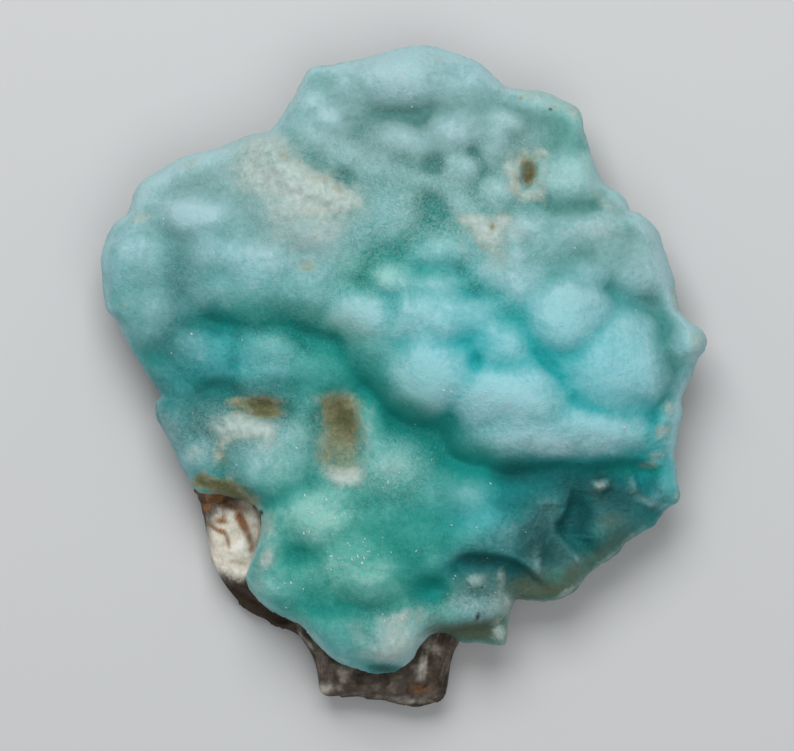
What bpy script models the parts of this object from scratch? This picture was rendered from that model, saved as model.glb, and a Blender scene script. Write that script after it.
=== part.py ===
"""Aragonite hand specimen: a blue-green botryoidal crust on a slab of host rock.

The slab lies on its rock side with the crust up. x runs to the right and y away across the crust's face, and
z runs up from the resting plane. Every figure below is in millimetres, and the meshes are made in metres.
"""
import bmesh
import bpy
import numpy as np

MM = 0.001

# Contact between crust and rock
ROCK_TOP = 6.85
CRUST_BASE = 7.15

# Crust rim: width of the rolled edge, how far the underside tucks in, where the widest point lies, and the
# least depth of crust anywhere
RIM_WIDTH = 3.2
RIM_TUCK = 2.6
RIM_WAIST = 0.45
LEAST_DEPTH = 2.2

# Rock rim: width of the worn edge, where the widest point lies, and the least depth of rock anywhere
ROCK_RIM = 1.6
ROCK_WAIST = 0.55
ROCK_DEPTH = 1.6

# How softly neighbouring lumps meet, how much a lump follows the slope it grows on, how far a spot height
# reaches, and how unevenly everything has grown: sideways wander of every feature, rise and fall of the face
LUMP_BLEND = 0.6
LUMP_LEAN = 0.5
SPOT_REACH = 4.0
WANDER = 0.28
UNEVEN = 0.03

# Share of each grid's rows that makes the rolled rim
ROLL_ROWS = 0.08

# Rows of each blank's grid, and the share of its triangles that is kept
CRUST_GRID = 120
CRUST_KEEP = 0.108
ROCK_GRID = 70
ROCK_KEEP = 0.14

# Points closer than this are welded where a side meets its underside
WELD = 0.01

# Colour and roughness of each material
CRUST_COLOUR = (0.19, 0.50, 0.50)
CRUST_ROUGHNESS = 0.55
ROCK_COLOUR = (0.16, 0.12, 0.09)
ROCK_ROUGHNESS = 0.85

# Outline of the crust seen from above, clockwise from the top: x, y
CRUST_OUTLINE = [
    (2.7, 44.7), (5.5, 44.2), (8.0, 43.3), (10.4, 42.2), (12.8, 40.0), (14.2, 39.1), (16.3, 38.8),
    (18.5, 38.6), (20.5, 37.9), (22.6, 36.9), (23.7, 36.1), (24.2, 34.8), (24.4, 33.0), (25.3, 30.3),
    (26.5, 27.0), (27.6, 25.6), (28.9, 24.9), (30.1, 23.5), (30.6, 22.5), (32.0, 22.1), (33.4, 20.8),
    (34.4, 19.2), (35.2, 17.0), (36.2, 13.9), (37.0, 10.4), (37.3, 8.8), (38.8, 7.3), (40.2, 6.4),
    (40.9, 5.0), (40.8, 3.8), (39.8, 2.5), (38.9, 0.0), (37.6, -2.8), (37.5, -5.2), (36.8, -8.3),
    (36.5, -10.8), (36.9, -14.0), (37.3, -15.8), (37.0, -16.7), (35.2, -18.0), (33.6, -20.2),
    (30.4, -22.0), (28.8, -24.1), (26.6, -25.4), (25.0, -26.5), (23.9, -28.1), (22.5, -29.5),
    (19.5, -30.3), (17.0, -30.1), (15.3, -30.1), (14.5, -31.6), (14.1, -33.6), (13.9, -35.6),
    (13.2, -36.3), (10.5, -35.8), (7.9, -35.8), (6.0, -34.6), (4.0, -34.6), (2.2, -36.3), (1.2, -38.1),
    (-0.8, -39.5), (-3.2, -40.0), (-6.0, -39.4), (-9.5, -38.0), (-12.0, -35.6), (-14.2, -33.3),
    (-17.6, -31.6), (-19.6, -30.2), (-21.0, -27.9), (-21.1, -26.4), (-19.9, -23.2), (-19.1, -20.0),
    (-19.6, -17.8), (-21.6, -16.6), (-24.5, -15.9), (-27.9, -15.4), (-29.6, -12.7), (-31.0, -9.6),
    (-32.3, -7.4), (-33.3, -5.2), (-33.4, -3.6), (-32.9, -2.3), (-35.0, 0.9), (-37.2, 4.6), (-38.8, 7.6),
    (-40.1, 9.2), (-40.5, 12.0), (-40.9, 15.4), (-40.2, 18.2), (-39.0, 20.6), (-37.2, 22.3),
    (-36.3, 24.7), (-35.2, 26.5), (-33.2, 27.6), (-30.0, 29.6), (-25.0, 30.9), (-20.6, 32.7),
    (-18.1, 33.1), (-16.6, 35.0), (-15.0, 37.5), (-13.6, 40.0), (-12.3, 41.8), (-9.0, 42.2), (-5.0, 43.1),
    (-0.5, 44.4),
]

# Outline of the rock, which shows past the crust at the lower left and at the bottom: x, y
ROCK_OUTLINE = [
    (2.0, 41.5), (9.0, 39.5), (14.0, 36.5), (20.0, 35.0), (21.5, 31.0), (24.0, 25.0), (27.5, 21.5),
    (31.5, 17.0), (33.0, 12.0), (34.5, 7.5), (37.0, 4.8), (35.5, 0.5), (34.0, -5.0), (33.0, -11.0),
    (33.8, -15.0), (30.5, -18.5), (27.0, -21.5), (22.5, -25.0), (19.5, -27.2), (14.5, -27.8),
    (11.5, -31.0), (9.0, -33.8), (7.1, -36.6), (6.3, -39.3), (5.9, -42.0), (4.9, -43.7), (2.0, -44.7),
    (-1.1, -44.3), (-5.9, -43.5), (-8.6, -43.3), (-10.5, -43.2), (-11.4, -42.2), (-11.8, -39.3),
    (-13.3, -36.2), (-14.6, -34.8), (-17.5, -33.8), (-19.0, -32.8), (-22.0, -31.0), (-23.8, -29.0),
    (-25.0, -27.0), (-26.0, -24.8), (-26.3, -22.0), (-26.9, -18.8), (-27.8, -16.6), (-28.5, -14.9),
    (-28.2, -12.0), (-29.0, -9.5), (-30.4, -6.0), (-30.2, -2.0), (-33.0, 2.5), (-35.5, 6.5),
    (-37.5, 10.5), (-37.8, 15.0), (-36.0, 19.5), (-33.5, 23.5), (-29.5, 26.3), (-24.0, 28.0),
    (-18.5, 29.6), (-14.5, 32.5), (-12.5, 36.5), (-10.0, 39.2), (-4.0, 40.5),
]

# General level of the crust: x, y, height above the resting plane
CRUST_SPOTS = [
    (0, 43, 13.0), (-11, 40, 12.5), (-3, 32, 14.5), (10, 34, 14.3), (20, 35, 12.0), (23, 26, 14),
    (8, 25, 15), (-6, 24, 16.5), (-15, 27, 16.5), (-25, 28, 13.5), (-34, 24, 12.0), (-27, 19, 15.6),
    (-39, 14, 12.0), (-19.5, 13.5, 17.2), (-10, 14, 17.4), (-33, 7, 13.0), (0, 8, 18.5), (10, 12, 17),
    (20, 16, 16.5), (30, 18, 14.0), (35, 10, 13.0), (22, 5, 18.0), (29, 0, 15.6), (38.5, 3, 12.8),
    (14, -3, 18.0), (24, -8.6, 16.4), (36.5, -8, 12.8), (5, -2, 17.0), (-18, 2, 13), (-30, 0, 12),
    (-10, 0, 12.5), (-2, -8, 12.5), (6, -12, 12), (-19, -9, 13), (-31, -7, 11.5), (-27, -14, 10.8),
    (-9, -16, 14.5), (-8, -26, 15.5), (2, -22, 14.5), (0, -35, 13.0), (-17, -29, 12.5), (10, -17, 14),
    (13, -21, 14), (16, -13, 13.5), (27, -14, 12.5), (35, -15, 10.8), (24, -22, 11.0), (17, -27, 11.5),
    (21, -29, 10.6), (9, -29.5, 12.5), (11, -34.5, 11.0), (31, -20, 10.8), (-20, -23, 13),
    (14.5, -8.4, 16.4), (-27.5, 11.5, 14.8), (32.0, -9.5, 13.4),
]

# Lumps of the crust: x, y, half width, half height, turn in degrees, height above the level they sit on
LUMPS = [
    (-0.4, 40.0, 5.6, 3.9, 0, 2.2), (6.0, 39.4, 5.2, 3.0, -10, 0.9), (-12.0, 37.5, 2.1, 1.7, 0, 0.7),
    (-9.8, 35.2, 1.8, 1.6, 0, 0.9), (-6.6, 38.4, 2.6, 2.2, 0, 0.4), (-0.3, 31.6, 4.4, 2.5, -12, 1.3),
    (-5.4, 28.8, 3.4, 1.9, -10, 0.6), (6.8, 33.0, 3.9, 2.4, 0, 1.2), (13.7, 34.3, 2.8, 1.8, -8, 1.1),
    (12.1, 31.3, 1.9, 2.1, 0, 0.8), (7.7, 28.0, 2.3, 2.0, 0, 1.0), (12.2, 24.6, 2.3, 2.1, 0, 1.0),
    (22.4, 26.7, 4.2, 3.8, 0, 1.8), (-11.0, 32.0, 3.0, 3.4, 0, 0.5), (18.4, 37.0, 3.4, 1.5, -16, 0.5),
    (24.4, 19.8, 4.6, 2.2, 6, 1.0), (17.2, 20.2, 2.6, 1.5, 0, 0.7), (19.8, 17.2, 2.6, 2.0, 0, 0.6),
    (14.9, 17.4, 1.7, 2.6, 0, 0.8), (10.0, 17.0, 2.4, 2.2, 0, 0.5), (10.6, 20.4, 3.0, 1.8, -20, 0.9),
    (31.8, 14.8, 3.2, 2.8, 0, 0.8), (30.4, 20.4, 3.4, 2.6, 0, 0.7), (27.6, 16.6, 1.9, 1.6, 0, 0.4),
    (4.6, 17.0, 4.0, 2.5, 0, 0.9), (-2.2, 21.8, 4.2, 3.4, 0, 1.2), (7.4, 23.4, 3.0, 1.6, -34, 0.7),
    (-7.2, 24.0, 2.2, 1.8, 0, 0.5), (2.0, 26.2, 4.4, 1.4, -8, 0.6), (-14.8, 26.8, 3.4, 2.2, -30, 1.2),
    (-10.4, 24.4, 3.2, 1.7, -30, 1.1), (-17.0, 29.8, 2.0, 2.6, 20, 0.6), (-16.0, 22.4, 2.8, 1.6, 0, 0.5),
    (-12.2, 19.4, 3.8, 2.4, -8, 1.0), (-7.4, 19.4, 2.8, 2.0, 0, 0.5), (-8.6, 15.6, 3.2, 2.2, 0, 0.5),
    (-11.8, 12.2, 3.2, 2.4, 0, 0.7), (-26.8, 21.6, 4.8, 2.6, 3, 1.4), (-20.4, 15.4, 5.6, 2.6, -12, 1.0),
    (-19.6, 11.6, 5.0, 2.2, -6, 0.6), (-36.2, 16.4, 4.2, 5.0, 0, 1.3), (-33.6, 8.8, 3.2, 2.8, 0, 0.7),
    (-37.6, 10.4, 2.4, 2.2, 0, 0.5), (-29.2, 28.2, 4.0, 1.6, 15, 0.4), (-34.6, 23.8, 2.4, 2.6, 0, 0.5),
    (-27.4, 2.8, 3.6, 2.8, 0, 1.2), (-28.4, 4.8, 1.6, 1.2, 0, 0.4), (-18.2, 3.6, 3.8, 2.8, 0, 1.2),
    (-18.4, 0.6, 3.6, 1.7, 0, 0.8), (-31.2, -0.8, 2.2, 2.0, 0, 0.5), (-10.6, 0.8, 3.4, 2.6, -20, 0.7),
    (-17.2, -11.2, 5.8, 5.6, 0, 2.7), (-27.4, -10.3, 3.2, 2.3, 0, 1.1), (-31.0, -5.8, 2.6, 3.0, 0, 0.9),
    (-19.9, -6.9, 3.2, 1.5, 0, 0.9), (-23.8, -7.0, 2.2, 1.8, 0, 0.7), (-5.6, 8.6, 4.4, 3.4, 0, 1.6),
    (-1.6, 13.3, 2.7, 2.0, 0, 1.0), (4.2, 12.0, 4.0, 1.9, 0, 0.9), (4.4, 7.9, 6.4, 3.6, 0, 1.7),
    (10.6, 8.4, 2.6, 2.0, -20, 0.7), (3.2, 0.6, 6.4, 5.4, 0, 2.7),
    (13.2, 4.4, 3.6, 3.4, 0, 1.0), (21.7, 8.2, 5.6, 5.0, 0, 2.8),
    (28.0, 1.5, 7.0, 6.9, 0, 3.0), (14.2, -2.4, 7.6, 4.4, -4, 2.5), (16.0, -7.2, 5.6, 3.0, 4, 1.1),
    (24.8, -6.8, 6.2, 2.8, -4, 1.1), (24.3, 13.6, 2.6, 1.7, 0, 0.8), (16.2, 12.6, 3.3, 3.6, 0, 1.3),
    (11.5, 13.4, 2.4, 2.1, 0, 0.9), (-2.4, 4.4, 3.4, 3.0, 0, 0.8), (-1.2, -12.2, 5.2, 4.2, -20, 1.6),
    (7.6, -15.8, 4.6, 2.7, 0, 1.0), (12.8, -20.6, 5.0, 2.5, 0, 1.0), (-11.6, -18.8, 5.6, 3.9, -20, 1.6),
    (-5.2, -25.8, 5.4, 3.6, -25, 1.5), (-16.6, -27.8, 3.4, 3.0, 0, 0.9), (-17.6, -21.6, 1.9, 3.4, 0, 0.6),
    (-9.4, -34.4, 3.6, 2.4, -30, 0.6), (-1.2, -35.0, 4.8, 3.8, 10, 1.5), (9.0, -31.2, 4.8, 1.9, 4, 1.1),
    (28.2, -19.8, 3.2, 2.2, 20, 0.8), (34.6, -15.2, 1.7, 2.2, 10, 0.6), (38.4, 4.8, 2.4, 2.2, 0, 0.9),
    (3.0, -21.0, 3.4, 3.0, 0, 0.4), (-4.6, -7.6, 1.8, 3.4, 0, 0.6),
]

# Valleys between the lumps: depth, half width, the line they follow
VALLEYS = [
    (2.8, 1.9, [(-25.0, 8.2), (-20.6, 8.0), (-17.4, 7.4), (-13.6, 5.6), (-8.6, 2.6), (-4.4, -1.4)]),
    (2.2, 2.3, [(-4.4, -1.4), (-1.0, -5.2), (4.0, -7.8), (9.0, -10.4), (12.0, -12.4)]),
    (1.0, 2.4, [(-33.6, 2.4), (-30.2, 4.8), (-26.0, 7.0)]),
    (0.7, 3.2, [(-32.6, 18.6), (-30.4, 14.0), (-29.4, 10.0)]),
    (0.7, 3.0, [(-4.8, 37.4), (-1.6, 35.4), (2.4, 34.8), (5.0, 36.0)]),
    (0.5, 1.8, [(-7.4, 33.4), (-3.8, 33.0)]),
    (0.9, 1.8, [(-14.6, 31.5), (-11.5, 29.0), (-7.6, 26.9)]),
    (0.9, 1.9, [(33.4, 10.6), (35.4, 6.0), (35.8, 0), (33.8, -5.4)]),
    (1.1, 1.8, [(26.4, 12.0), (30.0, 10.8), (33.0, 8.8)]),
    (1.6, 1.6, [(2.4, -28.4), (5.0, -29.0)]),
    (0.5, 1.4, [(18.4, 24.0), (20.2, 22.4), (23.4, 22.2), (26.0, 23.6)]),
    (1.0, 1.8, [(-6.0, 14.6), (-3.4, 16.8), (1.0, 18.6), (3.6, 21.0), (4.0, 23.6)]),
    (0.7, 1.0, [(1.2, 14.4), (4.6, 14.2), (8.4, 14.2), (9.8, 11.2)]),
    (0.6, 1.1, [(10.2, 10.6), (13.6, 8.6), (16.0, 6.6), (17.4, 3.4), (19.4, 1.0)]),
    (1.1, 0.8, [(9.9, 2.2), (9.5, 0.2), (8.0, -2.4), (6.8, -5.0)]),
    (0.8, 0.9, [(19.8, 0.6), (22.4, -2.6), (26.0, -4.7), (30.4, -5.2)]),
    (1.3, 1.5, [(-26.0, -2.0), (-23.0, -2.4)]),
    (0.6, 0.9, [(-22.4, 5.4), (-22.6, 2.0), (-23.6, -0.8)]),
    (0.7, 1.2, [(-12.4, -6.0), (-11.8, -10.6), (-13.6, -15.0), (-18.0, -17.2)]),
    (0.6, 1.0, [(4.0, 27.8), (3.6, 29.8)]),
    (0.6, 0.9, [(9.6, 30.4), (10.6, 27.4)]),
    (0.5, 1.6, [(-13.0, -30.8), (-7.0, -31.6), (-3.0, -31.6)]),
    (0.6, 0.8, [(12.5, -5.4), (15.0, -4.8), (18.5, -5.2), (21.0, -6.8)]),
]

# Ledges, where the surface breaks down to the right of the line as it runs:
# drop, width of the break, how far the drop reaches, the line
LEDGES = [
    (2.6, 1.1, 4.4, [(10.6, -9.9), (14.0, -10.3), (20.0, -10.3), (26.0, -10.2), (28.6, -10.8)]),
    (2.0, 0.6, 2.8, [(7.6, -24.2), (9.0, -23.5), (12.4, -23.7), (15.4, -24.6), (17.6, -26.6)]),
    (2.0, 0.5, 3.0, [(23.0, -23.0), (21.6, -21.9), (20.4, -20.2), (21.0, -19.7), (21.5, -18.2)]),
    (0.8, 0.5, 1.4, [(25.9, -14.0), (25.7, -11.0)]),
    (1.0, 0.5, 2.6, [(24.2, -25.6), (22.8, -23.6)]),
    (1.5, 0.6, 2.4, [(34.8, -17.2), (32.4, -16.2), (31.3, -14.2)]),
    (0.8, 0.6, 2.2, [(18.8, -27.6), (18.6, -24.0)]),
    (1.5, 0.8, 3.0, [(4.4, -34.0), (6.4, -33.6), (9.6, -33.0), (13.8, -31.8)]),
]

# Pits and vugs: x, y, half width, half height, turn in degrees, depth
PITS = [
    (-8.7, -7.4, 2.7, 5.2, 4, 3.0), (-18.8, -4.1, 3.2, 1.4, -6, 2.2), (16.8, 27.2, 0.9, 1.5, -20, 2.6),
    (11.8, 20.3, 0.6, 0.7, 0, 0.9), (33.2, -14.0, 1.7, 1.8, 20, 1.2), (-7.9, 26.1, 1.6, 1.0, 0, 1.2),
    (-2.4, -39.6, 2.4, 1.2, 0, 1.6), (23.6, -19.4, 1.9, 2.8, 0, 1.2), (16.6, 29.6, 2.2, 1.2, 40, 0.5),
    (4.0, -28.9, 1.8, 1.6, 0, 1.0), (-24.0, -15.2, 3.6, 1.4, -6, 0.8), (-14.2, -24.0, 3.0, 1.6, -10, 0.7),
]

# Angular chips standing on the broken faces: x, y, half width, half height, turn in degrees, rise
CHIPS = [
    (26.7, -14.5, 1.3, 1.0, 8, 1.6), (19.8, -17.1, 1.6, 0.7, -6, 0.6), (9.8, -27.4, 1.2, 1.0, 30, 0.7),
    (12.8, -26.8, 0.7, 1.0, -8, 0.7), (23.3, -24.6, 1.0, 0.5, -58, 0.8), (18.0, -25.4, 0.8, 1.8, -4, 0.5),
    (32.6, -16.7, 1.8, 0.5, -28, 0.7), (31.2, -14.8, 0.5, 0.9, 12, 0.8), (35.4, -5.2, 0.9, 1.4, 4, 0.4),
]

# General level of the rock where it shows past the crust: x, y, height
ROCK_SPOTS = [
    (-25.0, -19.0, 8.6), (-22.0, -22.0, 8.8), (-25.5, -22.5, 7.8), (-22.6, -26.2, 8.8),
    (-24.6, -26.4, 7.0), (-22.8, -29.4, 4.6), (-19.6, -31.8, 4.4), (-20.0, -28.0, 8.8),
    (-15.5, -33.9, 4.4), (-12.4, -36.4, 7.4), (-11.4, -41.2, 6.6), (-9.0, -40.0, 8.4), (-6.0, -43.2, 5.8),
    (-4.0, -41.2, 7.4), (0.5, -43.8, 5.6), (0.0, -40.6, 8.0), (2.6, -38.0, 8.8), (5.2, -42.4, 5.8),
    (6.2, -38.6, 6.6), (0.0, -20.0, 9.6), (-15.0, -15.0, 9.6), (20.0, 0.0, 9.6), (-20.0, 15.0, 9.6),
    (0.0, 0.0, 9.6), (0.0, 35.0, 9.2), (-28.0, -12.0, 9.0), (10.0, -30.0, 9.0), (36.0, 4.0, 8.8),
    (20.0, 34.0, 8.8), (-36.0, 12.0, 8.8), (30.0, -18.0, 8.8),
]

# Ridges and cracks on the rock that shows: rise (a crack is negative), half width, line
ROCK_RIDGES = [
    (1.2, 0.6, [(-13.6, -35.2), (-12.0, -38.2), (-11.2, -42.2)]),
    (-1.2, 0.6, [(-12.4, -35.8), (-10.4, -39.0), (-9.4, -42.0)]),
    (1.2, 0.6, [(-10.6, -37.6), (-9.0, -39.4), (-8.0, -42.4)]),
    (0.8, 0.8, [(-7.0, -41.0), (-3.0, -41.6), (0.4, -43.4)]),
    (1.5, 0.7, [(3.4, -35.4), (2.8, -38.0), (2.4, -41.0)]),
    (-1.6, 0.5, [(4.4, -36.2), (3.8, -38.6), (3.4, -40.4)]),
    (1.0, 0.6, [(6.6, -36.2), (5.8, -39.0), (5.2, -42.6)]),
    (-0.9, 0.9, [(4.4, -41.0), (2.6, -42.2), (1.0, -42.0)]),
    (-0.9, 0.4, [(-24.6, -24.6), (-23.0, -25.2), (-21.0, -25.2)]),
    (1.2, 1.2, [(-22.8, -26.6), (-21.9, -26.2)]),
    (0.6, 0.7, [(-26.2, -21.0), (-25.4, -24.0), (-25.0, -26.6)]),
    (-0.8, 0.6, [(-23.0, -28.6), (-19.6, -31.0), (-16.0, -33.2)]),
]

# Broken faces under the rock: direction in degrees, distance out at which the face leaves the ground, and
# its rise per millimetre
ROCK_BREAKS = [
    (-4, 27.0, 0.34), (3, 33.4, 0.90), (22, 25.0, 0.28), (30, 31.6, 1.10), (48, 25.5, 0.36),
    (56, 31.5, 0.80), (74, 31.0, 0.30), (82, 36.2, 1.00), (101, 32.5, 0.40), (112, 36.4, 1.20),
    (128, 26.4, 0.30), (136, 33.4, 0.90), (150, 27.5, 0.34), (158, 35.2, 1.00), (172, 28.0, 0.30),
    (181, 33.8, 1.10), (196, 25.0, 0.34), (207, 29.2, 0.80), (222, 28.5, 0.40), (230, 34.6, 0.90),
    (246, 33.5, 0.42), (268, 38.5, 0.55), (262, 42.0, 0.90), (290, 33.5, 0.36), (297, 36.2, 0.90),
    (318, 26.0, 0.30), (326, 31.0, 0.80), (341, 25.5, 0.34), (349, 32.6, 1.00),
]


def closed_curve(points):
    """Smooth closed curve through the points."""
    steps = np.linspace(0, 1, 8, endpoint=False)[:, None, None]
    here = np.array(points, float)
    before = np.roll(here, 1, 0)
    after = np.roll(here, -1, 0)
    beyond = np.roll(here, -2, 0)
    curve = 2 * here + (after - before) * steps
    curve = curve + (2 * before - 5 * here + 4 * after - beyond) * steps ** 2
    curve = curve + (3 * here - before - 3 * after + beyond) * steps ** 3
    return (0.5 * curve).transpose(1, 0, 2).reshape(-1, 2)


def reach(points, angle):
    """Distance from the centre to the outline in each direction."""
    curve = closed_curve(points)
    along = np.arctan2(curve[:, 1], curve[:, 0])
    order = np.argsort(along)
    return np.interp(angle, along[order], np.hypot(curve[:, 0], curve[:, 1])[order], period=2 * np.pi)


def spot_field(spots):
    """Smooth surface through spot heights, as weights of one cone-like hill over each spot."""
    table = np.array(spots, float)
    apart = np.hypot(table[:, None, 0] - table[None, :, 0], table[:, None, 1] - table[None, :, 1])
    weights = np.linalg.solve(np.hypot(apart, SPOT_REACH), table[:, 2])
    return table, weights


def spot_level(field, x, y):
    table, weights = field
    level = np.zeros(np.shape(x))
    for (sx, sy, _), weight in zip(table, weights):
        level = level + weight * np.sqrt((x - sx) ** 2 + (y - sy) ** 2 + SPOT_REACH ** 2)
    return level


def ripple(x, y, length, phase):
    """Smooth uneven pattern of waves about this long, running in six directions."""
    total = np.zeros(np.shape(x))
    for k in range(6):
        turn = phase + 2.4 * k
        along = x * np.cos(turn) + y * np.sin(turn)
        total = total + np.sin(2 * np.pi * along / (length * (0.8 + 0.09 * k)) + 1.7 * k + 3 * phase)
    return total / 3


def in_ellipse(x, y, cx, cy, half_x, half_y, turn):
    """Squared distance from an ellipse's centre, 1 on the ellipse."""
    cosine = np.cos(np.radians(turn))
    sine = np.sin(np.radians(turn))
    along = (cosine * (x - cx) + sine * (y - cy)) / half_x
    across = (cosine * (y - cy) - sine * (x - cx)) / half_y
    return along ** 2 + across ** 2


def in_block(x, y, cx, cy, half_x, half_y, turn):
    """Distance from a block's centre, 1 on its edges."""
    cosine = np.cos(np.radians(turn))
    sine = np.sin(np.radians(turn))
    along = np.abs(cosine * (x - cx) + sine * (y - cy)) / half_x
    across = np.abs(cosine * (y - cy) - sine * (x - cx)) / half_y
    return np.maximum(along, across)


def from_line(x, y, line):
    """Distance to a line of segments, and distance to the right of the nearest one as it runs."""
    nearest = np.full(np.shape(x), 1e6)
    right = np.zeros(np.shape(x))
    for (ax, ay), (bx, by) in zip(line[:-1], line[1:]):
        run = np.hypot(bx - ax, by - ay)
        ux = (bx - ax) / run
        uy = (by - ay) / run
        part = np.clip((x - ax) * ux + (y - ay) * uy, 0, run)
        away = np.hypot(x - ax - part * ux, y - ay - part * uy)
        side = (x - ax) * uy - (y - ay) * ux
        right = np.where(away < nearest, side, right)
        nearest = np.minimum(nearest, away)
    return nearest, right


def crust_relief(x, y):
    """Height of the crust's face: spot heights, valleys and ledges, with the lumps grown over them."""
    field = spot_field(CRUST_SPOTS)
    uneven = UNEVEN * (ripple(x, y, 5.2, 0.4) + 0.6 * ripple(x, y, 2.4, 1.9))
    wander_x = WANDER * (ripple(x, y, 8.5, 1.1) + 0.3 * ripple(x, y, 3.4, 2.2))
    wander_y = WANDER * (ripple(x, y, 8.5, 4.3) + 0.3 * ripple(x, y, 3.4, 0.7))
    x = x + wander_x
    y = y + wander_y
    level = spot_level(field, x, y)
    ground = level
    for depth, width, line in VALLEYS:
        ground = ground - depth * np.exp(-(from_line(x, y, line)[0] / width) ** 2)
    for drop, width, far, line in LEDGES:
        away, right = from_line(x, y, line)
        step = np.clip(right / width, 0, 1)
        ground = ground - drop * step * step * (3 - 2 * step) * np.exp(-(away / far) ** 2)
    total = np.ones(np.shape(x))
    for cx, cy, half_x, half_y, turn, proud in LUMPS:
        radius = np.sqrt(half_x * half_y)
        ball = (radius ** 2 + proud ** 2) / (2 * proud)
        off = in_ellipse(x, y, cx, cy, half_x, half_y, turn) * radius ** 2
        foot = LUMP_LEAN * level + (1 - LUMP_LEAN) * spot_level(field, np.array(cx), np.array(cy))
        cap = foot + proud - ball + np.sqrt(np.maximum(ball ** 2 - off, 0))
        over = np.where(off < ball ** 2, cap - ground, -40)
        total = total + np.exp(np.clip(over / LUMP_BLEND, -60, 60))
    face = ground + LUMP_BLEND * np.log(total)
    for cx, cy, half_x, half_y, turn, depth in PITS:
        face = face - depth * np.exp(-in_ellipse(x, y, cx, cy, half_x, half_y, turn) ** 1.3)
    for cx, cy, half_x, half_y, turn, rise in CHIPS:
        face = face + rise * np.clip((1 - in_block(x, y, cx, cy, half_x, half_y, turn)) / 0.4, 0, 1)
    face = face + uneven
    floor = CRUST_BASE + LEAST_DEPTH
    return floor + LUMP_BLEND * np.log1p(np.exp((face - floor) / LUMP_BLEND))


def rock_relief(x, y):
    """Top of the rock: flat under the crust, falling away in ridges and cracks where it shows."""
    top = spot_level(spot_field(ROCK_SPOTS), x, y)
    for rise, width, line in ROCK_RIDGES:
        top = top + rise * np.exp(-(from_line(x, y, line)[0] / width) ** 2)
    return np.minimum(top, ROCK_TOP)


def rock_underside(x, y):
    """Underside of the rock: a flat resting area with broken faces rising from it all round."""
    under = np.zeros(np.shape(x))
    for direction, out, rise in ROCK_BREAKS:
        along = x * np.cos(np.radians(direction)) + y * np.sin(np.radians(direction))
        under = np.maximum(under, rise * (along - out))
    return np.minimum(under, rock_relief(x, y) - ROCK_DEPTH)


def rolled(outline, part, width, rows):
    """Distance out for a grid point, and the share of its height left where the rim rolls over.

    The outermost rows of the grid make the roll; the others spread evenly over the face inside it.
    """
    start = 1 - rows
    turn = np.clip((part - start) / rows, 0, 1) * np.pi / 2
    flat = np.minimum(part / start, 1) * (outline - width)
    return flat + width * np.sin(turn), np.cos(turn)


def crust_face(angle, part):
    """Face of the crust, rolled over at the rim down to its widest point."""
    out, share = rolled(reach(CRUST_OUTLINE, angle), part, RIM_WIDTH, ROLL_ROWS)
    x = out * np.cos(angle)
    y = out * np.sin(angle)
    face = crust_relief(x, y)
    waist = CRUST_BASE + RIM_WAIST * (face - CRUST_BASE)
    return x, y, waist + (face - waist) * share


def crust_side(turn):
    """Row of the crust's side where it has turned this many degrees from upright towards its underside."""
    def row(angle):
        outline = reach(CRUST_OUTLINE, angle)
        face = crust_relief(outline * np.cos(angle), outline * np.sin(angle))
        tucked = outline - RIM_TUCK * (1 - np.cos(np.radians(turn)))
        height = CRUST_BASE + RIM_WAIST * (face - CRUST_BASE) * (1 - np.sin(np.radians(turn)))
        return tucked * np.cos(angle), tucked * np.sin(angle), height
    return row


def crust_base(angle, part):
    """Flat underside of the crust."""
    out = (reach(CRUST_OUTLINE, angle) - RIM_TUCK) * part
    return out * np.cos(angle), out * np.sin(angle), np.full(np.shape(out), CRUST_BASE)


def rock_waist(angle):
    """Height of the rock's widest point."""
    x = reach(ROCK_OUTLINE, angle) * np.cos(angle)
    y = reach(ROCK_OUTLINE, angle) * np.sin(angle)
    foot = rock_underside(x, y)
    return foot + ROCK_WAIST * (rock_relief(x, y) - foot)


def rock_face(angle, part):
    """Top of the rock, worn round at its edge."""
    out, share = rolled(reach(ROCK_OUTLINE, angle), part, ROCK_RIM, ROLL_ROWS)
    x = out * np.cos(angle)
    y = out * np.sin(angle)
    waist = rock_waist(angle)
    return x, y, waist + (rock_relief(x, y) - waist) * share


def rock_side(angle):
    """Row halfway down the rock's side."""
    x = reach(ROCK_OUTLINE, angle) * np.cos(angle)
    y = reach(ROCK_OUTLINE, angle) * np.sin(angle)
    return x, y, (rock_waist(angle) + rock_underside(x, y)) / 2


def rock_base(angle, part):
    """Underside of the rock."""
    out = reach(ROCK_OUTLINE, angle) * part
    x = out * np.cos(angle)
    y = out * np.sin(angle)
    return x, y, rock_underside(x, y)


def place(vertices, x, y, z):
    """Move each vertex to its point."""
    for vertex, point in zip(vertices, np.stack([x, y, z], -1) * MM):
        vertex.co = point


def round_grid(solid, count, surface):
    """Grid pressed into a disc and laid on a surface given by direction and distance out, 0 to 1."""
    vertices = bmesh.ops.create_grid(solid, x_segments=count, y_segments=count, size=1)["verts"]
    across = np.array([vertex.co.x for vertex in vertices])
    up = np.array([vertex.co.y for vertex in vertices])
    u = across * np.sqrt(1 - up ** 2 / 2)
    v = up * np.sqrt(1 - across ** 2 / 2)
    place(vertices, *surface(np.arctan2(v, u), np.hypot(u, v)))
    return vertices


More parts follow.
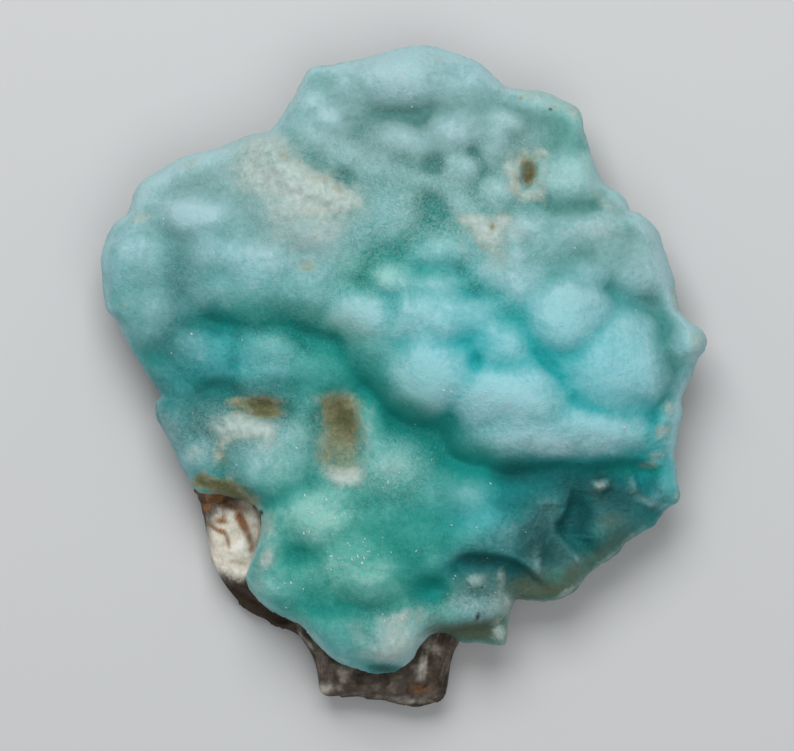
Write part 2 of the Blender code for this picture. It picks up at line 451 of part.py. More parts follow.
def closed_solid(name, count, face, sides, base, keep, material):
    """Solid of a face, rows extruded down its side and an underside welded to the last row.

    A Decimate modifier keeps this share of the triangles, the fewest where the surface is flattest.
    """
    solid = bmesh.new()
    round_grid(solid, count, face)
    edges = [edge for edge in solid.edges if edge.is_boundary]
    for side in sides + [lambda angle: base(angle, np.ones(np.shape(angle)))]:
        made = bmesh.ops.extrude_edge_only(solid, edges=edges)["geom"]
        edges = [piece for piece in made if isinstance(piece, bmesh.types.BMEdge) and piece.is_boundary]
        vertices = [piece for piece in made if isinstance(piece, bmesh.types.BMVert)]
        angle = np.array([np.arctan2(vertex.co.y, vertex.co.x) for vertex in vertices])
        place(vertices, *side(angle))
    round_grid(solid, count, base)
    bmesh.ops.remove_doubles(solid, verts=solid.verts, dist=WELD * MM)
    bmesh.ops.recalc_face_normals(solid, faces=solid.faces)
    mesh = bpy.data.meshes.new(name)
    solid.to_mesh(mesh)
    solid.free()
    mesh.shade_smooth()
    mesh.materials.append(material)
    node = bpy.data.objects.new(name, mesh)
    bpy.context.scene.collection.objects.link(node)
    fewer = node.modifiers.new("fewer", "DECIMATE")
    fewer.ratio = keep
    fewer.use_collapse_triangulate = True
    return node


def stone(name, colour, roughness):
    """Plain stone material."""
    material = bpy.data.materials.new(name)
    material.use_nodes = True
    shader = material.node_tree.nodes["Principled BSDF"]
    shader.inputs["Base Color"].default_value = (*colour, 1)
    shader.inputs["Roughness"].default_value = roughness
    shader.inputs["Metallic"].default_value = 0
    return material


def build_specimen():
    """The crust on its rock, both carried by one empty."""
    specimen = bpy.data.objects.new("specimen", None)
    bpy.context.scene.collection.objects.link(specimen)
    sides = [crust_side(30), crust_side(60)]
    aragonite = stone("aragonite", CRUST_COLOUR, CRUST_ROUGHNESS)
    host = stone("host_rock", ROCK_COLOUR, ROCK_ROUGHNESS)
    crust = closed_solid("aragonite_crust", CRUST_GRID, crust_face, sides, crust_base, CRUST_KEEP, aragonite)
    rock = closed_solid("matrix_rock", ROCK_GRID, rock_face, [rock_side], rock_base, ROCK_KEEP, host)
    crust.parent = specimen
    rock.parent = specimen


for old in list(bpy.data.objects):
    bpy.data.objects.remove(old, do_unlink=True)
build_specimen()
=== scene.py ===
"""Looks of the aragonite specimen: its botryoidal crust, the host rock, the pale floor, light and camera.

Lengths are in millimetres in the crust's own frame and are scaled to metres when a mesh is made. x runs to
the right, y away across the crust's face, z up from the floor.
"""

import bpy
import numpy as np
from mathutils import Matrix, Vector


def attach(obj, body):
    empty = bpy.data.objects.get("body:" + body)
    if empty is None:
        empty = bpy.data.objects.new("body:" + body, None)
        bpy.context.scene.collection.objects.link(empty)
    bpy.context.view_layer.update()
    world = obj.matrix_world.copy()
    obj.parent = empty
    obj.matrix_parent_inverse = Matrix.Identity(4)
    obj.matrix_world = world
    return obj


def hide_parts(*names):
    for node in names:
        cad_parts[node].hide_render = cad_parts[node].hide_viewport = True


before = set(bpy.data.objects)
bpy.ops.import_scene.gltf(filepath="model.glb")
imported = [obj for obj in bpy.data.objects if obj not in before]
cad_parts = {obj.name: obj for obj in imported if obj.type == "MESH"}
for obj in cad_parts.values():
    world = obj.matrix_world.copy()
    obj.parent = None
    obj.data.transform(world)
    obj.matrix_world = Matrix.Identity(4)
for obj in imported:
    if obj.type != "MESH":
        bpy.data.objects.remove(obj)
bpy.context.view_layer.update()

MM = 0.001

# Contact between crust and rock; the crust's base sinks a hair into the rock so that no gap shows
ROCK_TOP = 6.85
CRUST_BASE = 7.15
CRUST_SINK = 0.35

# Crust rim: width of the rolled edge, how far the underside tucks in, where the widest point lies, and the
# least depth of crust anywhere
RIM_WIDTH = 3.2
RIM_TUCK = 2.6
RIM_WAIST = 0.45
LEAST_DEPTH = 2.2

# Rock rim: width of the worn edge, where the widest point lies, and the least depth of rock anywhere
ROCK_RIM = 1.6
ROCK_WAIST = 0.55
ROCK_DEPTH = 1.6

# How softly neighbouring lumps meet, how much a lump follows the slope it grows on, how far a spot height
# reaches, and how unevenly everything has grown: sideways wander of every feature, rise and fall of the face
LUMP_BLEND = 0.6
LUMP_LEAN = 0.5
SPOT_REACH = 4.0
WANDER = 0.28
UNEVEN = 0.03

# Rows of each piece's grid, how the rock's rows crowd towards its rim (under 1), the share of the rows that
# makes a rolled rim, and the rows down each side, as degrees turned or as shares of the way down; then the
# rings under the crust, as shares of its last row's distance out
CRUST_GRID = 280
ROCK_GRID = 150
ROCK_CROWD = 0.6
ROLL_ROWS = 0.08
CRUST_SIDE_TURNS = (15, 30, 45, 60, 75, 90)
ROCK_SIDE_ROWS = (0.15, 0.35, 0.55, 0.75, 0.92)
CRUST_UNDER_RINGS = (0.6, 0.25)

# Size of the beads and broken faces on each piece's edge, and how far they stand out for their size
CRUST_EDGE_GRAIN = 2.3
ROCK_EDGE_GRAIN = 3.4
EDGE_DEPTH = 0.2

# Widths of the pale band inside the crust's rim, and of the thin pale line on its very edge, and the line's
# strength: painted rim light, partly a paler worn edge
RIM_LIGHT_BAND = 4.0
THIN_RIM_LIGHT = 0.9
THIN_RIM_LIGHT_STRENGTH = 0.6

# Sugar grains: seed of their random draws, places tried, the chance of one where nothing sparkles, half the
# length of the largest, and a grain's breadth and thickness for its length
SEED = 11
GRAIN_TRIES = 4000
GRAIN_STRAYS = 0.01
GRAIN_SIZE = 0.34
GRAIN_BREADTH = 0.55
GRAIN_THICKNESS = 0.4

# Widths over which the relief is rounded off in its soft parts, in its crisp parts and between its puffs
SOFT_CREASE = 0.4
CRISP_CREASE = 0.2
PUFF_CREASE = 0.18

# Crest value: the width over which a place's own height is taken, and the widths of the surroundings that it
# is held against; then how much each millimetre above the near and the wide surroundings lightens a place,
# how much each millimetre down in a crease darkens it, and the least drop that counts as a crease. The paler
# crests and deeper creases are partly the mineral's own colour and partly painted highlight and painted
# shade
OWN_WIDTH = 0.3
CREASE_WIDTH = 1.2
NEAR_WIDTH = 1.7
WIDE_WIDTH = 4.5
NEAR_CREST = 0.29
WIDE_CREST = 0.07
CREASE_SHADE = 0.8
CREASE_START = 0.03

# Fine growth, each layer as rows of height, spacing of its seeds and number of their scatter: puffs, fuzz,
# cottony tufts, sponge, broken faces on the crust, and broken faces on the rock
PUFFS = [(0.55, 3.9, 3), (0.22, 2.1, 13)]
FUZZ = [(0.05, 0.85, 53), (0.05, 0.6, 63)]
COTTON = [(0.14, 1.5, 83), (0.098, 0.8, 93)]
SPONGE = [(0.2, 1.1, 23)]
SPLITS = [(0.24, 3.4, 33), (0.168, 1.5, 43)]
ROCK_SPLITS = [(0.5, 2.2, 53), (0.6, 0.9, 63)]

# Uneven waves that bend the puffs and the tufts sideways: rows of how far, length, and phase across and up;
# then the height and length of the waves in the sponge
PUFF_BENDS = [(0.6, 5.1, 0.9, 3.1), (0.2, 1.9, 2.9, 4.1)]
TUFT_BENDS = [(0.3, 1.3, 0.9, 3.1)]
SPONGE_WAVE = 0.2
SPONGE_LENGTH = 1.7

# Height above the ground from which the rock's underside is fully broken
BROKEN_ABOVE = 1.5

# Square map of the face's heights, from which crests and hollows are read: half its side, and its step
MAP_REACH = 49.0
MAP_STEP = 0.25

# Camera: its height above the silhouette, the silhouette's height, the camera's place across and up, the
# view's width there, and the width of its sensor
CAMERA_HEIGHT = 950.0
SILHOUETTE = 11.0
CAMERA_X = -0.88
CAMERA_Y = 0.20
VIEW_WIDTH = 107.2
SENSOR_WIDTH = 36

# Light, in metres and watts, and the floor, with half its side in metres
KEY_PLACE = (-0.05, 0.29, 0.48)
KEY_SIZE = 0.34
KEY_ENERGY = 2.15
FILL_PLACE = (0.09, -0.16, 0.56)
FILL_SIZE = 0.4
FILL_ENERGY = 0.72
SURROUND_COLOUR = (0.98, 1.0, 1.0, 1)
SURROUND_STRENGTH = 0.25
LIGHT_COLOUR = (1.0, 1.0, 1.0)
FLOOR_FINISH = {"Base Color": (0.62, 0.63, 0.64, 1), "Roughness": 0.7}
FLOOR_HALF = 1.5

# Outline of the crust seen from above, clockwise from the top: x, y
CRUST_OUTLINE = [
    (2.7, 44.7), (5.5, 44.2), (8.0, 43.3), (10.4, 42.2), (12.8, 40.0), (14.2, 39.1), (16.3, 38.8),
    (18.5, 38.6), (20.5, 37.9), (22.6, 36.9), (23.7, 36.1), (24.2, 34.8), (24.4, 33.0), (25.3, 30.3),
    (26.5, 27.0), (27.6, 25.6), (28.9, 24.9), (30.1, 23.5), (30.6, 22.5), (32.0, 22.1), (33.4, 20.8),
    (34.4, 19.2), (35.2, 17.0), (36.2, 13.9), (37.0, 10.4), (37.3, 8.8), (38.8, 7.3), (40.2, 6.4),
    (40.9, 5.0), (40.8, 3.8), (39.8, 2.5), (38.9, 0.0), (37.6, -2.8), (37.5, -5.2), (36.8, -8.3),
    (36.5, -10.8), (36.9, -14.0), (37.3, -15.8), (37.0, -16.7), (35.2, -18.0), (33.6, -20.2),
    (30.4, -22.0), (28.8, -24.1), (26.6, -25.4), (25.0, -26.5), (23.9, -28.1), (22.5, -29.5),
    (19.5, -30.3), (17.0, -30.1), (15.3, -30.1), (14.5, -31.6), (14.1, -33.6), (13.9, -35.6),
    (13.2, -36.3), (10.5, -35.8), (7.9, -35.8), (6.0, -34.6), (4.0, -34.6), (2.2, -36.3), (1.2, -38.1),
    (-0.8, -39.5), (-3.2, -40.0), (-6.0, -39.4), (-9.5, -38.0), (-12.0, -35.6), (-14.2, -33.3),
    (-17.6, -31.6), (-19.6, -30.2), (-21.0, -27.9), (-21.1, -26.4), (-19.9, -23.2), (-19.1, -20.0),
    (-19.6, -17.8), (-21.6, -16.6), (-24.5, -15.9), (-27.9, -15.4), (-29.6, -12.7), (-31.0, -9.6),
    (-32.3, -7.4), (-33.3, -5.2), (-33.4, -3.6), (-32.9, -2.3), (-35.0, 0.9), (-37.2, 4.6), (-38.8, 7.6),
    (-40.1, 9.2), (-40.5, 12.0), (-40.9, 15.4), (-40.2, 18.2), (-39.0, 20.6), (-37.2, 22.3),
    (-36.3, 24.7), (-35.2, 26.5), (-33.2, 27.6), (-30.0, 29.6), (-25.0, 30.9), (-20.6, 32.7),
    (-18.1, 33.1), (-16.6, 35.0), (-15.0, 37.5), (-13.6, 40.0), (-12.3, 41.8), (-9.0, 42.2), (-5.0, 43.1),
    (-0.5, 44.4),
]

# Outline of the rock, which shows past the crust at the lower left and at the bottom: x, y
ROCK_OUTLINE = [
    (2.0, 41.5), (9.0, 39.5), (14.0, 36.5), (20.0, 35.0), (21.5, 31.0), (24.0, 25.0), (27.5, 21.5),
    (31.5, 17.0), (33.0, 12.0), (34.5, 7.5), (37.0, 4.8), (35.5, 0.5), (34.0, -5.0), (33.0, -11.0),
    (33.8, -15.0), (30.5, -18.5), (27.0, -21.5), (22.5, -25.0), (19.5, -27.2), (14.5, -27.8),
    (11.5, -31.0), (9.0, -33.8), (7.1, -36.6), (6.3, -39.3), (5.9, -42.0), (4.9, -43.7), (2.0, -44.7),
    (-1.1, -44.3), (-5.9, -43.5), (-8.6, -43.3), (-10.5, -43.2), (-11.4, -42.2), (-11.8, -39.3),
    (-13.3, -36.2), (-14.6, -34.8), (-17.5, -33.8), (-19.0, -32.8), (-22.0, -31.0), (-23.8, -29.0),
    (-25.0, -27.0), (-26.0, -24.8), (-26.3, -22.0), (-26.9, -18.8), (-27.8, -16.6), (-28.5, -14.9),
    (-28.2, -12.0), (-29.0, -9.5), (-30.4, -6.0), (-30.2, -2.0), (-33.0, 2.5), (-35.5, 6.5),
    (-37.5, 10.5), (-37.8, 15.0), (-36.0, 19.5), (-33.5, 23.5), (-29.5, 26.3), (-24.0, 28.0),
    (-18.5, 29.6), (-14.5, 32.5), (-12.5, 36.5), (-10.0, 39.2), (-4.0, 40.5),
]

# General level of the crust: x, y, height above the resting plane
CRUST_SPOTS = [
    (0, 43, 13.0), (-11, 40, 12.5), (-3, 32, 14.5), (10, 34, 14.3), (20, 35, 12.0), (23, 26, 14),
    (8, 25, 15), (-6, 24, 16.5), (-15, 27, 16.5), (-25, 28, 13.5), (-34, 24, 12.0), (-27, 19, 15.6),
    (-39, 14, 12.0), (-19.5, 13.5, 17.2), (-10, 14, 17.4), (-33, 7, 13.0), (0, 8, 18.5), (10, 12, 17),
    (20, 16, 16.5), (30, 18, 14.0), (35, 10, 13.0), (22, 5, 18.0), (29, 0, 15.6), (38.5, 3, 12.8),
    (14, -3, 18.0), (24, -8.6, 16.4), (36.5, -8, 12.8), (5, -2, 17.0), (-18, 2, 13), (-30, 0, 12),
    (-10, 0, 12.5), (-2, -8, 12.5), (6, -12, 12), (-19, -9, 13), (-31, -7, 11.5), (-27, -14, 10.8),
    (-9, -16, 14.5), (-8, -26, 15.5), (2, -22, 14.5), (0, -35, 13.0), (-17, -29, 12.5), (10, -17, 14),
    (13, -21, 14), (16, -13, 13.5), (27, -14, 12.5), (35, -15, 10.8), (24, -22, 11.0), (17, -27, 11.5),
    (21, -29, 10.6), (9, -29.5, 12.5), (11, -34.5, 11.0), (31, -20, 10.8), (-20, -23, 13),
    (14.5, -8.4, 16.4), (-27.5, 11.5, 14.8), (32.0, -9.5, 13.4),
]

# Lumps of the crust: x, y, half width, half height, turn in degrees, height above the level they sit on
LUMPS = [
    (-0.4, 40.0, 5.6, 3.9, 0, 2.2), (6.0, 39.4, 5.2, 3.0, -10, 0.9), (-12.0, 37.5, 2.1, 1.7, 0, 0.7),
    (-9.8, 35.2, 1.8, 1.6, 0, 0.9), (-6.6, 38.4, 2.6, 2.2, 0, 0.4), (-0.3, 31.6, 4.4, 2.5, -12, 1.3),
    (-5.4, 28.8, 3.4, 1.9, -10, 0.6), (6.8, 33.0, 3.9, 2.4, 0, 1.2), (13.7, 34.3, 2.8, 1.8, -8, 1.1),
    (12.1, 31.3, 1.9, 2.1, 0, 0.8), (7.7, 28.0, 2.3, 2.0, 0, 1.0), (12.2, 24.6, 2.3, 2.1, 0, 1.0),
    (22.4, 26.7, 4.2, 3.8, 0, 1.8), (-11.0, 32.0, 3.0, 3.4, 0, 0.5), (18.4, 37.0, 3.4, 1.5, -16, 0.5),
    (24.4, 19.8, 4.6, 2.2, 6, 1.0), (17.2, 20.2, 2.6, 1.5, 0, 0.7), (19.8, 17.2, 2.6, 2.0, 0, 0.6),
    (14.9, 17.4, 1.7, 2.6, 0, 0.8), (10.0, 17.0, 2.4, 2.2, 0, 0.5), (10.6, 20.4, 3.0, 1.8, -20, 0.9),
    (31.8, 14.8, 3.2, 2.8, 0, 0.8), (30.4, 20.4, 3.4, 2.6, 0, 0.7), (27.6, 16.6, 1.9, 1.6, 0, 0.4),
    (4.6, 17.0, 4.0, 2.5, 0, 0.9), (-2.2, 21.8, 4.2, 3.4, 0, 1.2), (7.4, 23.4, 3.0, 1.6, -34, 0.7),
    (-7.2, 24.0, 2.2, 1.8, 0, 0.5), (2.0, 26.2, 4.4, 1.4, -8, 0.6), (-14.8, 26.8, 3.4, 2.2, -30, 1.2),
    (-10.4, 24.4, 3.2, 1.7, -30, 1.1), (-17.0, 29.8, 2.0, 2.6, 20, 0.6), (-16.0, 22.4, 2.8, 1.6, 0, 0.5),
    (-12.2, 19.4, 3.8, 2.4, -8, 1.0), (-7.4, 19.4, 2.8, 2.0, 0, 0.5), (-8.6, 15.6, 3.2, 2.2, 0, 0.5),
    (-11.8, 12.2, 3.2, 2.4, 0, 0.7), (-26.8, 21.6, 4.8, 2.6, 3, 1.4), (-20.4, 15.4, 5.6, 2.6, -12, 1.0),
    (-19.6, 11.6, 5.0, 2.2, -6, 0.6), (-36.2, 16.4, 4.2, 5.0, 0, 1.3), (-33.6, 8.8, 3.2, 2.8, 0, 0.7),
    (-37.6, 10.4, 2.4, 2.2, 0, 0.5), (-29.2, 28.2, 4.0, 1.6, 15, 0.4), (-34.6, 23.8, 2.4, 2.6, 0, 0.5),
    (-27.4, 2.8, 3.6, 2.8, 0, 1.2), (-28.4, 4.8, 1.6, 1.2, 0, 0.4), (-18.2, 3.6, 3.8, 2.8, 0, 1.2),
    (-18.4, 0.6, 3.6, 1.7, 0, 0.8), (-31.2, -0.8, 2.2, 2.0, 0, 0.5), (-10.6, 0.8, 3.4, 2.6, -20, 0.7),
    (-17.2, -11.2, 5.8, 5.6, 0, 2.7), (-27.4, -10.3, 3.2, 2.3, 0, 1.1), (-31.0, -5.8, 2.6, 3.0, 0, 0.9),
    (-19.9, -6.9, 3.2, 1.5, 0, 0.9), (-23.8, -7.0, 2.2, 1.8, 0, 0.7), (-5.6, 8.6, 4.4, 3.4, 0, 1.6),
    (-1.6, 13.3, 2.7, 2.0, 0, 1.0), (4.2, 12.0, 4.0, 1.9, 0, 0.9), (4.4, 7.9, 6.4, 3.6, 0, 1.7),
    (10.6, 8.4, 2.6, 2.0, -20, 0.7), (3.2, 0.6, 6.4, 5.4, 0, 2.7),
    (13.2, 4.4, 3.6, 3.4, 0, 1.0), (21.7, 8.2, 5.6, 5.0, 0, 2.8),
    (28.0, 1.5, 7.0, 6.9, 0, 3.0), (14.2, -2.4, 7.6, 4.4, -4, 2.5), (16.0, -7.2, 5.6, 3.0, 4, 1.1),
    (24.8, -6.8, 6.2, 2.8, -4, 1.1), (24.3, 13.6, 2.6, 1.7, 0, 0.8), (16.2, 12.6, 3.3, 3.6, 0, 1.3),
    (11.5, 13.4, 2.4, 2.1, 0, 0.9), (-2.4, 4.4, 3.4, 3.0, 0, 0.8), (-1.2, -12.2, 5.2, 4.2, -20, 1.6),
    (7.6, -15.8, 4.6, 2.7, 0, 1.0), (12.8, -20.6, 5.0, 2.5, 0, 1.0), (-11.6, -18.8, 5.6, 3.9, -20, 1.6),
    (-5.2, -25.8, 5.4, 3.6, -25, 1.5), (-16.6, -27.8, 3.4, 3.0, 0, 0.9), (-17.6, -21.6, 1.9, 3.4, 0, 0.6),
    (-9.4, -34.4, 3.6, 2.4, -30, 0.6), (-1.2, -35.0, 4.8, 3.8, 10, 1.5), (9.0, -31.2, 4.8, 1.9, 4, 1.1),
    (28.2, -19.8, 3.2, 2.2, 20, 0.8), (34.6, -15.2, 1.7, 2.2, 10, 0.6), (38.4, 4.8, 2.4, 2.2, 0, 0.9),
    (3.0, -21.0, 3.4, 3.0, 0, 0.4), (-4.6, -7.6, 1.8, 3.4, 0, 0.6),
]

# Valleys between the lumps: depth, half width, the line they follow
VALLEYS = [
    (2.8, 1.9, [(-25.0, 8.2), (-20.6, 8.0), (-17.4, 7.4), (-13.6, 5.6), (-8.6, 2.6), (-4.4, -1.4)]),
    (2.2, 2.3, [(-4.4, -1.4), (-1.0, -5.2), (4.0, -7.8), (9.0, -10.4), (12.0, -12.4)]),
    (1.0, 2.4, [(-33.6, 2.4), (-30.2, 4.8), (-26.0, 7.0)]),
    (0.7, 3.2, [(-32.6, 18.6), (-30.4, 14.0), (-29.4, 10.0)]),
    (0.7, 3.0, [(-4.8, 37.4), (-1.6, 35.4), (2.4, 34.8), (5.0, 36.0)]),
    (0.5, 1.8, [(-7.4, 33.4), (-3.8, 33.0)]),
    (0.9, 1.8, [(-14.6, 31.5), (-11.5, 29.0), (-7.6, 26.9)]),
    (0.9, 1.9, [(33.4, 10.6), (35.4, 6.0), (35.8, 0), (33.8, -5.4)]),
    (1.1, 1.8, [(26.4, 12.0), (30.0, 10.8), (33.0, 8.8)]),
    (1.6, 1.6, [(2.4, -28.4), (5.0, -29.0)]),
    (0.5, 1.4, [(18.4, 24.0), (20.2, 22.4), (23.4, 22.2), (26.0, 23.6)]),
    (1.0, 1.8, [(-6.0, 14.6), (-3.4, 16.8), (1.0, 18.6), (3.6, 21.0), (4.0, 23.6)]),
    (0.7, 1.0, [(1.2, 14.4), (4.6, 14.2), (8.4, 14.2), (9.8, 11.2)]),
    (0.6, 1.1, [(10.2, 10.6), (13.6, 8.6), (16.0, 6.6), (17.4, 3.4), (19.4, 1.0)]),
    (1.1, 0.8, [(9.9, 2.2), (9.5, 0.2), (8.0, -2.4), (6.8, -5.0)]),
    (0.8, 0.9, [(19.8, 0.6), (22.4, -2.6), (26.0, -4.7), (30.4, -5.2)]),
    (1.3, 1.5, [(-26.0, -2.0), (-23.0, -2.4)]),
    (0.6, 0.9, [(-22.4, 5.4), (-22.6, 2.0), (-23.6, -0.8)]),
    (0.7, 1.2, [(-12.4, -6.0), (-11.8, -10.6), (-13.6, -15.0), (-18.0, -17.2)]),
    (0.6, 1.0, [(4.0, 27.8), (3.6, 29.8)]),
    (0.6, 0.9, [(9.6, 30.4), (10.6, 27.4)]),
    (0.5, 1.6, [(-13.0, -30.8), (-7.0, -31.6), (-3.0, -31.6)]),
    (0.6, 0.8, [(12.5, -5.4), (15.0, -4.8), (18.5, -5.2), (21.0, -6.8)]),
]

# Ledges, where the surface breaks down to the right of the line as it runs:
# drop, width of the break, how far the drop reaches, the line
LEDGES = [
    (2.6, 1.1, 4.4, [(10.6, -9.9), (14.0, -10.3), (20.0, -10.3), (26.0, -10.2), (28.6, -10.8)]),
    (2.0, 0.6, 2.8, [(7.6, -24.2), (9.0, -23.5), (12.4, -23.7), (15.4, -24.6), (17.6, -26.6)]),
    (2.0, 0.5, 3.0, [(23.0, -23.0), (21.6, -21.9), (20.4, -20.2), (21.0, -19.7), (21.5, -18.2)]),
    (0.8, 0.5, 1.4, [(25.9, -14.0), (25.7, -11.0)]),
    (1.0, 0.5, 2.6, [(24.2, -25.6), (22.8, -23.6)]),
    (1.5, 0.6, 2.4, [(34.8, -17.2), (32.4, -16.2), (31.3, -14.2)]),
    (0.8, 0.6, 2.2, [(18.8, -27.6), (18.6, -24.0)]),
    (1.5, 0.8, 3.0, [(4.4, -34.0), (6.4, -33.6), (9.6, -33.0), (13.8, -31.8)]),
]

# Pits and vugs: x, y, half width, half height, turn in degrees, depth
PITS = [
    (-8.7, -7.4, 2.7, 5.2, 4, 3.0), (-18.8, -4.1, 3.2, 1.4, -6, 2.2), (16.8, 27.2, 0.9, 1.5, -20, 2.6),
    (11.8, 20.3, 0.6, 0.7, 0, 0.9), (33.2, -14.0, 1.7, 1.8, 20, 1.2), (-7.9, 26.1, 1.6, 1.0, 0, 1.2),
    (-2.4, -39.6, 2.4, 1.2, 0, 1.6), (23.6, -19.4, 1.9, 2.8, 0, 1.2), (16.6, 29.6, 2.2, 1.2, 40, 0.5),
    (4.0, -28.9, 1.8, 1.6, 0, 1.0), (-24.0, -15.2, 3.6, 1.4, -6, 0.8), (-14.2, -24.0, 3.0, 1.6, -10, 0.7),
]

# Angular chips standing on the broken faces: x, y, half width, half height, turn in degrees, rise
CHIPS = [
    (26.7, -14.5, 1.3, 1.0, 8, 1.6), (19.8, -17.1, 1.6, 0.7, -6, 0.6), (9.8, -27.4, 1.2, 1.0, 30, 0.7),
    (12.8, -26.8, 0.7, 1.0, -8, 0.7), (23.3, -24.6, 1.0, 0.5, -58, 0.8), (18.0, -25.4, 0.8, 1.8, -4, 0.5),
    (32.6, -16.7, 1.8, 0.5, -28, 0.7), (31.2, -14.8, 0.5, 0.9, 12, 0.8), (35.4, -5.2, 0.9, 1.4, 4, 0.4),
]

# General level of the rock where it shows past the crust: x, y, height
ROCK_SPOTS = [
    (-25.0, -19.0, 8.6), (-22.0, -22.0, 8.8), (-25.5, -22.5, 7.8), (-22.6, -26.2, 8.8),
    (-24.6, -26.4, 7.0), (-22.8, -29.4, 4.6), (-19.6, -31.8, 4.4), (-20.0, -28.0, 8.8),
    (-15.5, -33.9, 4.4), (-12.4, -36.4, 7.4), (-11.4, -41.2, 6.6), (-9.0, -40.0, 8.4), (-6.0, -43.2, 5.8),
    (-4.0, -41.2, 7.4), (0.5, -43.8, 5.6), (0.0, -40.6, 8.0), (2.6, -38.0, 8.8), (5.2, -42.4, 5.8),
    (6.2, -38.6, 6.6), (0.0, -20.0, 9.6), (-15.0, -15.0, 9.6), (20.0, 0.0, 9.6), (-20.0, 15.0, 9.6),
    (0.0, 0.0, 9.6), (0.0, 35.0, 9.2), (-28.0, -12.0, 9.0), (10.0, -30.0, 9.0), (36.0, 4.0, 8.8),
    (20.0, 34.0, 8.8), (-36.0, 12.0, 8.8), (30.0, -18.0, 8.8),
]

# Ridges and cracks on the rock that shows: rise (a crack is negative), half width, line
ROCK_RIDGES = [
    (1.2, 0.6, [(-13.6, -35.2), (-12.0, -38.2), (-11.2, -42.2)]),
    (-1.2, 0.6, [(-12.4, -35.8), (-10.4, -39.0), (-9.4, -42.0)]),
    (1.2, 0.6, [(-10.6, -37.6), (-9.0, -39.4), (-8.0, -42.4)]),
    (0.8, 0.8, [(-7.0, -41.0), (-3.0, -41.6), (0.4, -43.4)]),
    (1.5, 0.7, [(3.4, -35.4), (2.8, -38.0), (2.4, -41.0)]),
    (-1.6, 0.5, [(4.4, -36.2), (3.8, -38.6), (3.4, -40.4)]),
    (1.0, 0.6, [(6.6, -36.2), (5.8, -39.0), (5.2, -42.6)]),
    (-0.9, 0.9, [(4.4, -41.0), (2.6, -42.2), (1.0, -42.0)]),
    (-0.9, 0.4, [(-24.6, -24.6), (-23.0, -25.2), (-21.0, -25.2)]),
    (1.2, 1.2, [(-22.8, -26.6), (-21.9, -26.2)]),
    (0.6, 0.7, [(-26.2, -21.0), (-25.4, -24.0), (-25.0, -26.6)]),
    (-0.8, 0.6, [(-23.0, -28.6), (-19.6, -31.0), (-16.0, -33.2)]),
]

# Broken faces under the rock: direction in degrees, distance out at which the face leaves the ground, and
# its rise per millimetre
ROCK_BREAKS = [
    (-4, 27.0, 0.34), (3, 33.4, 0.90), (22, 25.0, 0.28), (30, 31.6, 1.10), (48, 25.5, 0.36),
    (56, 31.5, 0.80), (74, 31.0, 0.30), (82, 36.2, 1.00), (101, 32.5, 0.40), (112, 36.4, 1.20),
    (128, 26.4, 0.30), (136, 33.4, 0.90), (150, 27.5, 0.34), (158, 35.2, 1.00), (172, 28.0, 0.30),
    (181, 33.8, 1.10), (196, 25.0, 0.34), (207, 29.2, 0.80), (222, 28.5, 0.40), (230, 34.6, 0.90),
    (246, 33.5, 0.42), (268, 38.5, 0.55), (262, 42.0, 0.90), (290, 33.5, 0.36), (297, 36.2, 0.90),
    (318, 26.0, 0.30), (326, 31.0, 0.80), (341, 25.5, 0.34), (349, 32.6, 1.00),
]

